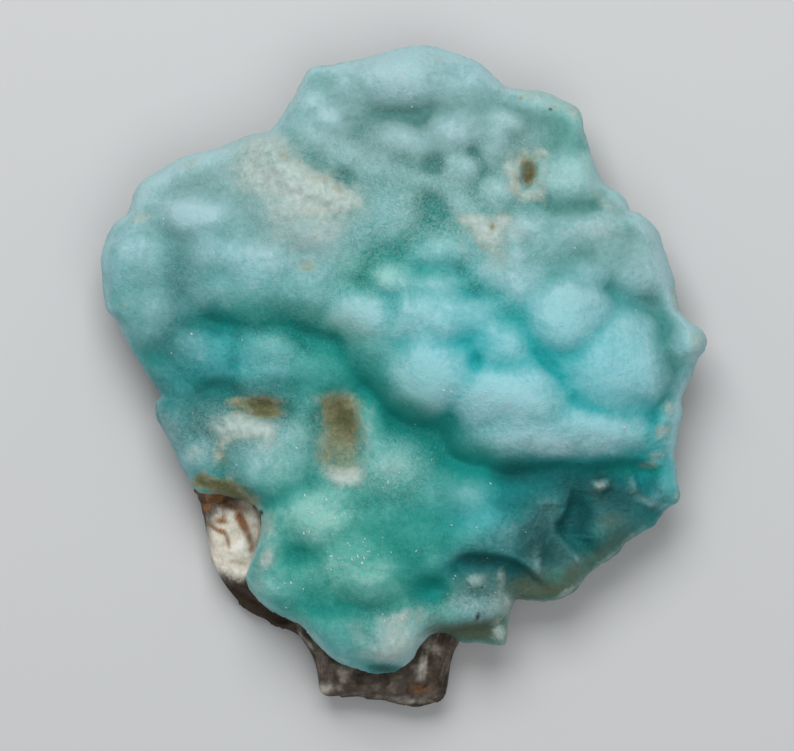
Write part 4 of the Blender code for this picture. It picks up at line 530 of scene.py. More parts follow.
# Painted shade: places given a deeper tone where the crust lies in shade
SHADE = [
    (-0.6, 36.0, 4.4, 2.6, -12, 0.2), (2.6, 34.2, 1.6, 0.9, 0, 0.4), (-5.4, 33.2, 2.2, 1.4, 0, 0.4),
    (3.6, 28.4, 1.4, 1.1, 10, 0.25), (9.6, 30.4, 1.0, 0.9, 0, 0.2), (10.8, 27.6, 1.0, 0.9, 0, 0.2),
    (-8.4, 27.4, 2.2, 1.2, -25, 0.4), (-11.6, 29.4, 2.0, 1.0, -40, 0.4), (4.0, 22.2, 1.8, 2.2, 10, 0.55),
    (1.0, 18.0, 2.4, 1.2, 30, 0.45), (-3.4, 16.0, 2.2, 1.2, -10, 0.6), (-5.6, 13.4, 1.4, 1.4, 0, 0.45),
    (9.6, 12.0, 1.2, 1.4, 0, 0.45), (13.6, 8.2, 2.2, 1.1, -25, 0.15), (16.4, 5.4, 0.9, 2.0, 0, 0.1),
    (18.2, 1.6, 1.4, 0.9, 0, 0.1), (22.8, 22.6, 3.4, 1.2, 4, 0.1), (23.0, 23.8, 2.4, 1.2, 0, 0.25),
    (19.8, 17.0, 2.0, 1.6, 0, 0.35), (20.4, 4.6, 3.0, 1.6, 0, 0.15), (27.0, -3.0, 4.0, 1.6, -10, 0.1),
    (26.0, -4.4, 3.0, 0.5, -14, 0.35), (5.6, 13.8, 3.6, 0.6, 0, 0.4), (10.2, 3.0, 0.8, 1.2, 0, 0.5),
    (-1.4, 8.0, 0.5, 2.4, -20, 0.3), (-31.0, 16.4, 1.8, 2.6, 0, 0.2), (-29.6, 11.6, 2.0, 2.8, 0, 0.25),
    (-28.2, 7.4, 3.0, 1.2, 0, 0.5), (-22.4, 19.2, 3.0, 0.9, -5, 0.15), (-20.6, 24.6, 1.6, 2.0, 0, 0.25),
    (-13.4, 14.8, 1.4, 0.8, 0, 0.3), (-37.6, 8.0, 1.4, 1.4, 0, 0.4), (-35.0, 5.0, 2.0, 1.6, -30, 0.4),
    (-33.4, 2.4, 1.6, 1.0, 0, 0.7), (-25.0, -2.0, 2.2, 1.2, 0, 0.8), (-27.0, -4.6, 2.2, 1.4, 0, 0.4),
    (-22.8, 2.4, 0.8, 2.2, 0, 0.5), (-16.0, -2.2, 1.6, 0.8, 0, 0.3), (-30.6, 0.6, 2.0, 2.0, 0, 0.35),
    (3.0, -20.0, 6.0, 4.4, 0, 0.4), (8.4, -19.0, 4.0, 1.0, 0, 0.3), (15.6, -17.4, 3.6, 2.4, 0, 0.75),
    (-14.4, -24.0, 2.8, 1.5, -8, 0.5), (-16.6, -14.8, 2.6, 1.0, 10, 0.4),
    (-12.0, -10.6, 0.9, 3.4, 10, 0.35), (-8.0, -31.4, 4.6, 0.9, 0, 0.6), (1.0, -6.0, 4.0, 1.4, -30, 0.5),
    (1.6, -16.4, 3.0, 1.0, 0, 0.3), (33.6, -8.4, 1.2, 3.4, 0, 0.4), (31.0, -10.6, 3.0, 1.2, -20, 0.5),
    (3.6, -28.8, 2.4, 2.0, 0, 0.8), (1.0, -24.8, 2.0, 3.0, 30, 0.4), (-25.0, 2.0, 9.0, 6.0, 0, 0.45),
    (-26.0, -5.0, 5.0, 3.0, 0, 0.4), (-15.0, 0.0, 5.0, 7.0, 0, 0.35), (17.0, -20.0, 9.0, 6.0, 0, 0.6),
    (-2.0, 24.0, 5.0, 3.0, 0, 0.5), (9.0, -19.0, 6.0, 5.0, 0, 0.4), (26.0, -17.0, 6.0, 5.0, 0, 0.4),
    (-2.0, -14.0, 7.0, 4.0, 0, 0.3), (-3.0, 30.0, 4.0, 3.0, 0, 0.25), (-37.0, 12.0, 3.0, 4.0, 0, 0.25),
    (-15.0, -10.0, 3.0, 3.0, 0, 0.2), (15.0, -30.0, 4.0, 3.0, 0, 0.6), (-27.0, -4.0, 6.0, 5.0, 0, 0.5),
    (-33.0, 3.0, 3.0, 4.0, 0, 0.45), (-18.0, -4.0, 5.0, 3.0, 0, 0.3), (-33.0, 10.0, 3.0, 5.0, 0, 0.3),
    (-22.0, 5.0, 5.0, 2.0, 0, 0.3), (9.0, -29.0, 5.0, 3.0, 0, 0.35), (22.0, -20.0, 6.0, 5.0, 0, 0.3),
    (-9.0, 24.0, 3.0, 2.0, 0, 0.3), (-8.0, 22.0, 3.6, 2.2, 0, 0.35), (9.0, -18.0, 5.0, 3.4, 0, 0.4),
    (0.0, 26.0, 5.0, 2.4, 0, 0.3), (5.6, -28.4, 4.0, 2.2, 0, 0.45), (-33.0, -4.0, 3.0, 3.0, 0, 0.3),
    (12.0, -30.0, 4.0, 3.0, 0, 0.35), (3.6, -29.0, 4.0, 3.0, 0, 0.35), (11.0, -26.4, 5.0, 2.4, 0, 0.3),
    (-22.0, -8.0, 7.0, 4.0, 0, 0.25), (14.0, -30.0, 3.4, 3.0, 0, 0.3), (4.0, -32.0, 3.0, 2.0, 20, 0.5),
    (8.6, -31.0, 3.0, 1.8, 0, 0.35), (12.4, -31.0, 2.0, 2.4, 0, 0.5), (16.0, -29.6, 1.6, 1.4, 0, 0.5),
    (17.0, -24.0, 1.8, 2.4, 0, 0.4), (30.0, -18.0, 3.0, 1.8, 0, 0.45), (33.0, -14.0, 2.4, 2.0, 0, 0.35),
    (37.0, -16.0, 1.0, 1.2, 0, 0.35), (-11.0, -32.0, 3.0, 2.4, 0, 0.2), (8.4, -34.6, 2.4, 0.7, 8, 0.5),
    (11.6, -26.0, 3.8, 1.3, 0, 0.35), (11.0, -18.8, 4.0, 2.2, 0, 0.35), (27.0, -19.8, 2.4, 2.4, 0, 0.45),
    (34.0, -18.6, 1.6, 1.6, 0, 0.4), (9.5, -33.4, 4.0, 1.0, 0, 0.4),
]
# Murky dark teal: partly the crust's own dark clear pools, partly painted shade under the ledges and on the
# broken faces
MURKY_AND_SHADE = [
    (19.0, -12.8, 6.4, 1.8, 0, 0.5), (23.0, -15.2, 2.6, 2.0, 0, 0.8), (15.0, -12.6, 2.0, 1.6, 0, 0.4),
    (16.6, -18.0, 4.0, 3.2, 0, 0.5), (23.6, -19.4, 1.9, 3.0, 0, 1.0), (21.4, -20.2, 0.7, 1.3, 0, 0.8),
    (28.6, -16.2, 2.8, 1.8, 0, 0.9), (10.2, -24.6, 2.4, 0.9, -8, 1.0), (14.8, -26.0, 2.4, 1.2, -10, 0.95),
    (12.4, -24.6, 1.8, 0.6, 0, 0.5), (20.4, -24.4, 1.8, 1.4, 0, 0.7), (18.0, -21.6, 2.4, 2.0, 0, 0.5),
    (29.4, -21.0, 4.0, 1.4, 28, 0.55), (33.6, -15.0, 1.6, 1.4, 0, 0.55), (34.0, -17.6, 2.6, 1.2, 38, 0.4),
    (27.0, -22.6, 3.0, 1.2, 20, 0.5), (16.6, -27.8, 2.6, 1.2, 0, 0.8), (-2.6, -39.4, 1.9, 0.6, 0, 0.9),
    (30.0, -18.0, 3.0, 2.0, 0, 0.5), (27.0, -15.0, 4.0, 3.0, 0, 0.4), (14.0, -22.0, 4.0, 2.0, 0, 0.35),
    (22.0, -24.0, 4.0, 2.0, 0, 0.5), (18.0, -22.0, 3.0, 2.4, 0, 0.5), (26.0, -25.0, 5.0, 2.0, 25, 0.3),
    (-29.0, 4.0, 5.0, 6.0, 0, 0.28), (-27.0, -6.0, 6.0, 4.0, 0, 0.35), (-30.4, 13.0, 2.0, 5.0, 0, 0.25),
    (-18.0, -3.0, 5.0, 4.0, 0, 0.2), (14.5, -30.0, 4.0, 3.0, 0, 0.6), (9.0, -29.0, 3.4, 2.0, 0, 0.2),
    (28.0, -17.0, 4.0, 3.0, 0, 0.3), (21.0, -18.0, 5.0, 4.0, 0, 0.3), (-17.0, 6.0, 6.0, 2.0, 0, 0.2),
    (10.0, -25.0, 3.0, 1.2, 0, 0.5), (-33.0, -3.0, 4.0, 4.0, 0, 0.25), (-22.0, -6.0, 8.0, 5.0, 0, 0.2),
    (9.0, -24.4, 4.0, 2.0, 0, 0.3), (20.0, -20.0, 2.4, 2.4, 0, 0.3), (16.6, -24.6, 1.6, 2.4, 0, 0.3),
    (30.0, -18.0, 3.0, 2.0, 0, 0.3), (11.6, -26.0, 3.6, 1.3, 0, 0.35), (27.0, -19.8, 2.4, 2.4, 0, 0.25),
    (34.0, -18.6, 1.6, 1.6, 0, 0.3), (8.6, -31.2, 4.0, 1.8, 0, 0.15),
]
OLIVE = [
    (20.6, -28.8, 3.6, 1.1, 6, 0.9), (22.8, -26.8, 1.6, 1.4, 60, 0.8), (16.6, -28.6, 1.8, 1.2, 0, 0.7),
    (18.4, -26.6, 2.0, 1.0, 0, 0.3), (26.6, -24.6, 3.4, 1.0, 38, 0.5), (8.8, -34.4, 4.4, 1.1, 4, 1.0),
    (11.0, -34.0, 1.2, 1.4, 0, 0.9), (5.0, -34.2, 1.6, 0.8, -10, 0.7), (27.8, -19.4, 1.8, 1.2, 10, 0.4),
    (12.8, -35.0, 1.2, 1.0, 0, 0.5), (-21.0, -15.6, 1.6, 0.8, -30, 0.5), (18.0, -29.0, 5.0, 2.0, 0, 0.5),
    (10.0, -35.0, 4.0, 1.4, 0, 0.5), (9.0, -33.6, 4.5, 0.9, 5, 0.4), (13.2, -35.4, 1.6, 1.4, 0, 0.35),
    (19.0, -29.2, 4.5, 1.4, 8, 0.3), (24.6, -25.6, 3.0, 1.2, 40, 0.3), (28.6, -22.2, 3.0, 1.2, 42, 0.3),
]
PITCH = [
    (-19.2, -18.3, 0.30, 0.36, 0, 1.0), (10.0, -32.3, 0.24, 0.5, -20, 1.0), (19.8, 36.1, 0.2, 0.2, 0, 1.0),
]
# Where the rim is unlit: no painted rim light is laid there
UNLIT_RIM = [
    (26.0, -24.0, 15.0, 7.0, 35, 0.9), (-36.0, 2.0, 4.0, 7.0, 30, 0.5), (-24.0, -15.6, 6.0, 2.0, 0, 1.0),
    (10.0, -35.0, 6.0, 3.0, 0, 0.8), (0.0, -40.0, 3.0, 2.0, 0, 0.8), (-12.0, -34.0, 8.0, 4.0, -35, 0.4),
    (13.6, -35.0, 2.6, 2.6, 0, 0.9),
]
CRUST_PATCHES = {
    "cream": CREAM, "ochre": OCHRE, "green": GREEN, "blue": BLUE, "grey": GREY, "deep": DEEP_AND_SHADE, "murky_and_shade": MURKY_AND_SHADE,
    "olive": OLIVE, "pitch": PITCH, "sparkle": SPARKLE, "powder": POWDER, "smooth": SMOOTH,
}

# Patches on the rock: x, y, half width, half height, turn in degrees, strength
WHITE = [
    (-23.0, -21.2, 3.4, 3.4, 0, 1.0), (-22.6, -23.8, 2.4, 1.4, 0, 1.0), (-21.4, -19.8, 1.4, 2.4, 0, 0.8),
    (-25.6, -23.6, 1.0, 3.2, -8, 1.0), (-23.0, -26.2, 2.4, 1.1, -5, 1.0), (-21.8, -25.9, 1.2, 0.8, 0, 1.0),
    (-24.0, -27.3, 1.2, 0.7, -25, 0.8), (-22.4, -27.6, 0.8, 0.6, -30, 0.6), (2.7, -38.8, 0.7, 2.2, -6, 0.6),
    (-11.0, -42.4, 1.0, 0.8, -20, 0.7), (-8.4, -40.4, 0.4, 1.6, 30, 0.2), (1.6, -44.1, 2.4, 0.4, 0, 0.5),
    (6.2, -38.6, 0.6, 3.0, -10, 0.15), (4.8, -36.0, 1.4, 0.6, -30, 0.1), (-2.0, -43.5, 4.0, 0.5, 0, 0.2),
    (-12.4, -37.4, 0.4, 1.8, 28, 0.2), (-15.4, -32.6, 2.0, 0.4, -42, 0.35),
    (-20.2, -30.2, 2.4, 0.3, -42, 0.6), (-5.0, -42.4, 3.0, 0.8, 0, 0.05), (0.0, -40.8, 2.0, 0.8, 0, 0.1),
    (-6.6, -39.2, 0.5, 2.4, 28, 0.15), (-3.6, -41.6, 0.6, 1.4, 20, 0.05), (-9.8, -41.8, 1.4, 0.6, -30, 0.3),
    (4.8, -38.2, 0.5, 2.4, -10, 0.1), (0.6, -42.6, 1.6, 0.5, 0, 0.1), (-13.6, -35.4, 1.6, 0.4, -48, 0.4),
]
RUST = [
    (-27.0, -17.7, 0.9, 0.6, 10, 1.0), (-24.7, -19.5, 1.0, 0.4, -10, 0.9),
    (-24.6, -21.0, 0.8, 0.4, -20, 0.9), (-23.8, -22.3, 0.35, 0.9, 15, 0.8),
    (-25.8, -20.4, 0.9, 0.3, -35, 0.8), (-24.3, -18.8, 0.5, 0.3, 0, 0.6), (-21.6, -20.2, 0.7, 1.6, 25, 0.9),
    (-20.9, -21.9, 0.4, 0.6, 0, 0.8), (-20.6, -23.2, 0.5, 0.8, -10, 0.8),
    (-25.8, -16.0, 2.0, 0.7, -10, 0.9), (-23.0, -17.6, 2.4, 0.6, -12, 0.7), (2.2, -42.3, 1.3, 0.5, -8, 0.9),
    (-22.6, -25.1, 1.7, 0.4, -6, 0.5), (-19.5, -21.6, 0.3, 2.4, 0, 0.5), (-22.4, -19.0, 0.6, 0.4, 0, 0.7),
    (4.4, -41.4, 0.9, 0.5, 0, 0.3),
]
# Dark hollows, cracks and the rock's steep brown side: partly their own dark brown, partly painted shade
BROWN_SIDE_AND_SHADE = [
    (-21.6, -30.0, 3.4, 1.2, -42, 1.0), (-17.8, -32.8, 2.6, 1.2, -35, 1.0), (3.7, -38.5, 0.35, 1.1, 8, 1.0),
    (-25.0, -28.4, 1.6, 1.2, -40, 0.7), (-9.3, -41.0, 0.5, 1.3, 14, 0.7), (3.2, -42.4, 1.2, 0.5, 0, 0.5),
    (-13.6, -36.8, 2.6, 0.5, -48, 0.6), (4.6, -40.6, 0.7, 1.0, 30, 0.4), (-19.6, -31.6, 1.6, 0.8, -38, 0.8),
    (-22.5, -29.4, 3.0, 1.6, -42, 0.9), (-19.0, -32.0, 4.0, 1.6, -40, 0.8),
]
ROCK_PATCHES = {"white": WHITE, "rust": RUST, "dark": BROWN_SIDE_AND_SHADE}


def closed_curve(points):
    """Smooth closed curve through the points."""
    steps = np.linspace(0, 1, 8, endpoint=False)[:, None, None]
    here = np.array(points, float)
    before = np.roll(here, 1, 0)
    after = np.roll(here, -1, 0)
    beyond = np.roll(here, -2, 0)
    curve = 2 * here + (after - before) * steps
    curve = curve + (2 * before - 5 * here + 4 * after - beyond) * steps ** 2
    curve = curve + (3 * here - before - 3 * after + beyond) * steps ** 3
    return (0.5 * curve).transpose(1, 0, 2).reshape(-1, 2)


def reach(points, angle):
    """Distance from the centre to the outline in each direction."""
    curve = closed_curve(points)
    along = np.arctan2(curve[:, 1], curve[:, 0])
    order = np.argsort(along)
    return np.interp(angle, along[order], np.hypot(curve[:, 0], curve[:, 1])[order], period=2 * np.pi)


def spot_field(spots):
    """Smooth surface through spot heights, as weights of one cone-like hill over each spot."""
    table = np.array(spots, float)
    apart = np.hypot(table[:, None, 0] - table[None, :, 0], table[:, None, 1] - table[None, :, 1])
    weights = np.linalg.solve(np.hypot(apart, SPOT_REACH), table[:, 2])
    return table, weights


def spot_level(field, x, y):
    """Height of that surface: the sum of its hills, each the distance from its spot times its weight."""
    table, weights = field
    level = np.zeros(np.shape(x))
    for (sx, sy, _), weight in zip(table, weights):
        level = level + weight * np.sqrt((x - sx) ** 2 + (y - sy) ** 2 + SPOT_REACH ** 2)
    return level


def ripple(x, y, length, phase):
    """Smooth uneven pattern of waves about this long, running in six directions."""
    total = np.zeros(np.shape(x))
    for k in range(6):
        turn = phase + 2.4 * k
        along = x * np.cos(turn) + y * np.sin(turn)
        total = total + np.sin(2 * np.pi * along / (length * (0.8 + 0.09 * k)) + 1.7 * k + 3 * phase)
    return total / 3


def in_ellipse(x, y, cx, cy, half_x, half_y, turn):
    """Squared distance from an ellipse's centre, 1 on the ellipse."""
    cosine = np.cos(np.radians(turn))
    sine = np.sin(np.radians(turn))
    along = (cosine * (x - cx) + sine * (y - cy)) / half_x
    across = (cosine * (y - cy) - sine * (x - cx)) / half_y
    return along ** 2 + across ** 2


def in_block(x, y, cx, cy, half_x, half_y, turn):
    """Distance from a block's centre, 1 on its edges."""
    cosine = np.cos(np.radians(turn))
    sine = np.sin(np.radians(turn))
    along = np.abs(cosine * (x - cx) + sine * (y - cy)) / half_x
    across = np.abs(cosine * (y - cy) - sine * (x - cx)) / half_y
    return np.maximum(along, across)


def from_line(x, y, line):
    """Distance to a line of segments, and distance to the right of the nearest one as it runs."""
    nearest = np.full(np.shape(x), 1e6)
    right = np.zeros(np.shape(x))
    for (ax, ay), (bx, by) in zip(line[:-1], line[1:]):
        run = np.hypot(bx - ax, by - ay)
        ux = (bx - ax) / run
        uy = (by - ay) / run
        part = np.clip((x - ax) * ux + (y - ay) * uy, 0, run)
        away = np.hypot(x - ax - part * ux, y - ay - part * uy)
        side = (x - ax) * uy - (y - ay) * ux
        right = np.where(away < nearest, side, right)
        nearest = np.minimum(nearest, away)
    return nearest, right


def crust_relief(x, y):
    """Height of the crust's face: spot heights, valleys and ledges, with the lumps grown over them."""
    field = spot_field(CRUST_SPOTS)
    uneven = UNEVEN * (ripple(x, y, 5.2, 0.4) + 0.6 * ripple(x, y, 2.4, 1.9))
    wander_x = WANDER * (ripple(x, y, 8.5, 1.1) + 0.3 * ripple(x, y, 3.4, 2.2))
    wander_y = WANDER * (ripple(x, y, 8.5, 4.3) + 0.3 * ripple(x, y, 3.4, 0.7))
    x = x + wander_x
    y = y + wander_y
    level = spot_level(field, x, y)
    ground = level
    for depth, width, line in VALLEYS:
        ground = ground - depth * np.exp(-(from_line(x, y, line)[0] / width) ** 2)
    for drop, width, far, line in LEDGES:
        away, right = from_line(x, y, line)
        step = np.clip(right / width, 0, 1)
        ground = ground - drop * step * step * (3 - 2 * step) * np.exp(-(away / far) ** 2)
    total = np.ones(np.shape(x))
    for cx, cy, half_x, half_y, turn, proud in LUMPS:
        radius = np.sqrt(half_x * half_y)
        ball = (radius ** 2 + proud ** 2) / (2 * proud)
        off = in_ellipse(x, y, cx, cy, half_x, half_y, turn) * radius ** 2
        foot = LUMP_LEAN * level + (1 - LUMP_LEAN) * spot_level(field, np.array(cx), np.array(cy))
        cap = foot + proud - ball + np.sqrt(np.maximum(ball ** 2 - off, 0))
        over = np.where(off < ball ** 2, cap - ground, -40)
        total = total + np.exp(np.clip(over / LUMP_BLEND, -60, 60))
    face = ground + LUMP_BLEND * np.log(total)
    for cx, cy, half_x, half_y, turn, depth in PITS:
        face = face - depth * np.exp(-in_ellipse(x, y, cx, cy, half_x, half_y, turn) ** 1.3)
    for cx, cy, half_x, half_y, turn, rise in CHIPS:
        face = face + rise * np.clip((1 - in_block(x, y, cx, cy, half_x, half_y, turn)) / 0.4, 0, 1)
    face = face + uneven
    floor = CRUST_BASE + LEAST_DEPTH
    return floor + LUMP_BLEND * np.log1p(np.exp((face - floor) / LUMP_BLEND))


def rock_relief(x, y):
    """Top of the rock: flat under the crust, falling away in ridges and cracks where it shows."""
    top = spot_level(spot_field(ROCK_SPOTS), x, y)
    for rise, width, line in ROCK_RIDGES:
        top = top + rise * np.exp(-(from_line(x, y, line)[0] / width) ** 2)
    return np.minimum(top, ROCK_TOP)


def rock_underside(x, y):
    """Underside of the rock: a flat resting area with broken faces rising from it all round."""
    under = np.zeros(np.shape(x))
    for direction, out, rise in ROCK_BREAKS:
        along = x * np.cos(np.radians(direction)) + y * np.sin(np.radians(direction))
        under = np.maximum(under, rise * (along - out))
    return np.minimum(under, rock_relief(x, y) - ROCK_DEPTH)


def noise_number(i, j, key):
    """Number between 0 and 1 for each pair of whole numbers: the fraction of a large sine."""
    value = np.sin(i * 127.1 + j * 311.7 + key * 74.7) * 43758.5453
    return value - np.floor(value)


def scattered(x, y, size, key):
    """Nearest of the seeds scattered one to each square of this size.

    Gives the distance in squares, the way to the seed across and up, and the square's whole numbers.
    """
    column = np.floor(x / size)
    line = np.floor(y / size)
    best = np.full(np.shape(x), 9.0)
    across = np.zeros(np.shape(x))
    up = np.zeros(np.shape(x))
    home_i = np.zeros(np.shape(x))
    home_j = np.zeros(np.shape(x))
    for di in (-1, 0, 1):
        for dj in (-1, 0, 1):
            i = column + di
            j = line + dj
            dx = x / size - i - noise_number(i, j, key)
            dy = y / size - j - noise_number(i, j, key + 1)
            away = np.hypot(dx, dy)
            nearer = away < best
            best = np.where(nearer, away, best)
            across = np.where(nearer, dx, across)
            up = np.where(nearer, dy, up)
            home_i = np.where(nearer, i, home_i)
            home_j = np.where(nearer, j, home_j)
    return best, across, up, home_i, home_j


def beads(x, y, size, key):
    """Small rounded swellings: up to 1 at each scattered seed, falling as a ball does, down to 0."""
    away, _, _, i, j = scattered(x, y, size, key)
    return np.sqrt(np.maximum(1 - away ** 2, 0)) * (0.55 + 0.45 * noise_number(i, j, key + 2))


def facets(x, y, size, key):
    """Broken faces: a plane through each scattered seed, tilted and raised by the seed's own numbers."""
    _, across, up, i, j = scattered(x, y, size, key)
    tilt_x = noise_number(i, j, key + 2) - 0.5
    tilt_y = noise_number(i, j, key + 3) - 0.5
    return size * (across * tilt_x + up * tilt_y) + size * 0.35 * (noise_number(i, j, key + 4) - 0.5)


def grown(form, layer, x, y):
    """Beads or broken faces of all the rows of a layer, each times its height, added up."""
    return sum(height * form(x, y, spacing, key) for height, spacing, key in layer)


def bent(x, y, waves):
    """Places moved sideways by uneven waves: rows of how far, wave length, and phase across and up."""
    across = sum(far * ripple(x, y, length, phase) for far, length, phase, _ in waves)
    up = sum(far * ripple(x, y, length, phase) for far, length, _, phase in waves)
    return x + across, y + up


def patches(x, y, spots):
    """Soft patches, 0 to 1: each is its strength times a flat-topped hill over its ellipse, all united."""
    bare = np.ones(np.shape(x))
    for cx, cy, half_x, half_y, turn, strength in spots:
        bare = bare * (1 - strength * np.exp(-in_ellipse(x, y, cx, cy, half_x, half_y, turn) ** 1.3 * 0.7))
    return 1 - bare


def blurred(heights, width):
    """Heights averaged over about this width round each place: their waves times a Gaussian's waves."""
    down = np.fft.fftfreq(heights.shape[0], MAP_STEP)[:, None]
    across = np.fft.fftfreq(heights.shape[1], MAP_STEP)[None, :]
    keep = np.exp(-2 * (np.pi * width) ** 2 * (down ** 2 + across ** 2))
    return np.real(np.fft.ifft2(np.fft.fft2(heights) * keep))


def read_map(values, x, y):
    """Value at each place between the four nearest grid places, in proportion."""
    column = np.clip((x + MAP_REACH) / MAP_STEP, 0, values.shape[1] - 1.001)
    line = np.clip((y + MAP_REACH) / MAP_STEP, 0, values.shape[0] - 1.001)
    i = column.astype(int)
    j = line.astype(int)
    u = column - i
    v = line - j
    low = values[j, i] * (1 - u) + values[j, i + 1] * u
    high = values[j + 1, i] * (1 - u) + values[j + 1, i + 1] * u
    return low * (1 - v) + high * v


def grown_relief():
    """Map of the crust's relief with small puffs grown on it.

    Creases are rounded off widely, and only a little where the crust is crisp. Smooth and broken parts have
    no puffs.
    """
    line = np.arange(-MAP_REACH, MAP_REACH, MAP_STEP)
    x, y = np.meshgrid(line, line)
    relief = crust_relief(x, y)
    crisp = patches(x, y, CRISP)
    relief = blurred(relief, SOFT_CREASE) * (1 - crisp) + blurred(relief, CRISP_CREASE) * crisp
    plain = np.maximum(patches(x, y, SMOOTH), patches(x, y, BROKEN))
    puffs = grown(beads, PUFFS, *bent(x, y, PUFF_BENDS)) * (1 - plain)
    return relief + blurred(puffs, PUFF_CREASE)


def crust_fine(x, y):
    """Fine growth over the relief: fuzz, with tufts on the powder, sponge on the cream, and broken faces."""
    powder = patches(x, y, POWDER)
    cream = patches(x, y, CREAM)
    broken = patches(x, y, BROKEN)
    fuzz = grown(beads, FUZZ, x, y)
    cotton = grown(beads, COTTON, *bent(x, y, TUFT_BENDS))
    sponge = grown(beads, SPONGE, x, y) + SPONGE_WAVE * ripple(x, y, SPONGE_LENGTH, 0.3)
    splits = grown(facets, SPLITS, x, y)
    return (fuzz + cotton * powder) * (1 - broken) + sponge * cream + splits * broken


def crust_height(x, y):
    """The crust's whole face: its grown relief and the fine growth."""
    return read_map(RELIEF, x, y) + crust_fine(x, y)


def rock_fine(x, y):
    """Fine surface of the rock where it shows: small broken faces."""
    return grown(facets, ROCK_SPLITS, x, y)


def rolled(outline, part, width, rows):
    """Distance out for a grid point, and the share of its height left where the rim rolls over.

    The outermost rows of the grid make the roll; the others spread evenly over the face inside it.
    """
    start = 1 - rows
    turn = np.clip((part - start) / rows, 0, 1) * np.pi / 2
    flat = np.minimum(part / start, 1) * (outline - width)
    return flat + width * np.sin(turn), np.cos(turn)


def edge_grain(x, y, z, size, key):
    """How far a broken edge stands out or in: beads and small faces on a slanted section of the scatter."""
    across = x + 0.6 * z
    up = y - 0.8 * z
    swelling = size * (beads(across, up, size, key) - 0.5)
    return EDGE_DEPTH * (swelling + facets(across, up, 0.6 * size, key + 10))


def pushed(x, y, z, out):
    """Points moved straight out from the middle by this much."""
    scale = 1 + out / np.maximum(np.hypot(x, y), 1)
    return np.stack([x * scale, y * scale, z], -1)


def crust_face(angle, part):
    """Face of the crust, rolled over at the rim down to its widest point, where its broken edge starts."""
    out, share = rolled(reach(CRUST_OUTLINE, angle), part, RIM_WIDTH, ROLL_ROWS)
    x = out * np.cos(angle)
    y = out * np.sin(angle)
    face = crust_height(x, y)
    waist = CRUST_BASE + RIM_WAIST * (face - CRUST_BASE)
    z = waist + (face - waist) * share
    return pushed(x, y, z, edge_grain(x, y, z, CRUST_EDGE_GRAIN, 73) * (1 - share) ** 2)


def crust_side(angle, turn):
    """Row of the crust's side where it has turned this many degrees from upright towards its underside."""
    outline = reach(CRUST_OUTLINE, angle)
    face = crust_height(outline * np.cos(angle), outline * np.sin(angle))
    upright = np.cos(np.radians(turn))
    under = np.sin(np.radians(turn))
    tucked = outline - RIM_TUCK * (1 - upright)
    x = tucked * np.cos(angle)
    y = tucked * np.sin(angle)
    z = CRUST_BASE - CRUST_SINK * under ** 4 + RIM_WAIST * (face - CRUST_BASE) * (1 - under)
    return pushed(x, y, z, edge_grain(x, y, z, CRUST_EDGE_GRAIN, 73) * upright)


def rock_waist(angle):
    """Height of the rock's widest point."""
    x = reach(ROCK_OUTLINE, angle) * np.cos(angle)
    y = reach(ROCK_OUTLINE, angle) * np.sin(angle)
    foot = rock_underside(x, y)
    return foot + ROCK_WAIST * (rock_relief(x, y) - foot)


def rock_face(angle, part):
    """Top of the rock with its small broken faces, worn round at its edge."""
    out, share = rolled(reach(ROCK_OUTLINE, angle), part, ROCK_RIM, ROLL_ROWS)
    x = out * np.cos(angle)
    y = out * np.sin(angle)
    waist = rock_waist(angle)
    z = waist + (rock_relief(x, y) - waist) * share + rock_fine(x, y) * share
    return pushed(x, y, z, edge_grain(x, y, z, ROCK_EDGE_GRAIN, 93) * (1 - share) ** 2)


def rock_side(angle, down):
    """Row of the rock's side, this share of the way from its widest point down to its underside."""
    x = reach(ROCK_OUTLINE, angle) * np.cos(angle)
    y = reach(ROCK_OUTLINE, angle) * np.sin(angle)
    z = rock_waist(angle) * (1 - down) + rock_underside(x, y) * down
    return pushed(x, y, z, edge_grain(x, y, z, ROCK_EDGE_GRAIN, 93))


def rock_base(angle, part):
    """Underside of the rock: flat where it rests, with small broken faces where it rises."""
    out = reach(ROCK_OUTLINE, angle) * part
    x = out * np.cos(angle)
    y = out * np.sin(angle)
    under = rock_underside(x, y)
    lifted = np.clip(under / BROKEN_ABOVE, 0, 1)
    z = under + lifted * rock_fine(x + 40, y)
    return pushed(x, y, z, edge_grain(x, y, z, ROCK_EDGE_GRAIN, 93) * lifted * part ** 8)


def round_grid(count, crowd):
    """Square grid pressed into a disc: direction and distance, 0 to 1, of each point.

    A crowd under 1 draws the rows together towards the rim.
    """
    line = np.linspace(-1, 1, count + 1)
    across, up = np.meshgrid(line, line)
    u = across * np.sqrt(1 - up ** 2 / 2)
    v = up * np.sqrt(1 - across ** 2 / 2)
    return np.arctan2(v, u), np.hypot(u, v) ** crowd


def rim_of(grid):
    """Values round the edge of a grid, anticlockwise."""
    return np.concatenate([grid[0, :-1], grid[:-1, -1], grid[-1, :0:-1], grid[:0:-1, 0]])


def grid_faces(numbers):
    """Quads between the rows and columns of a table of point numbers."""
    low = numbers[:-1]
    high = numbers[1:]
    return np.stack([low[:, :-1], low[:, 1:], high[:, 1:], high[:, :-1]], -1).reshape(-1, 4)


def ring_faces(upper, lower):
    """Quads between two rings of point numbers that run anticlockwise, the first above the second."""
    return np.stack([upper, lower, np.roll(lower, -1), np.roll(upper, -1)], -1)


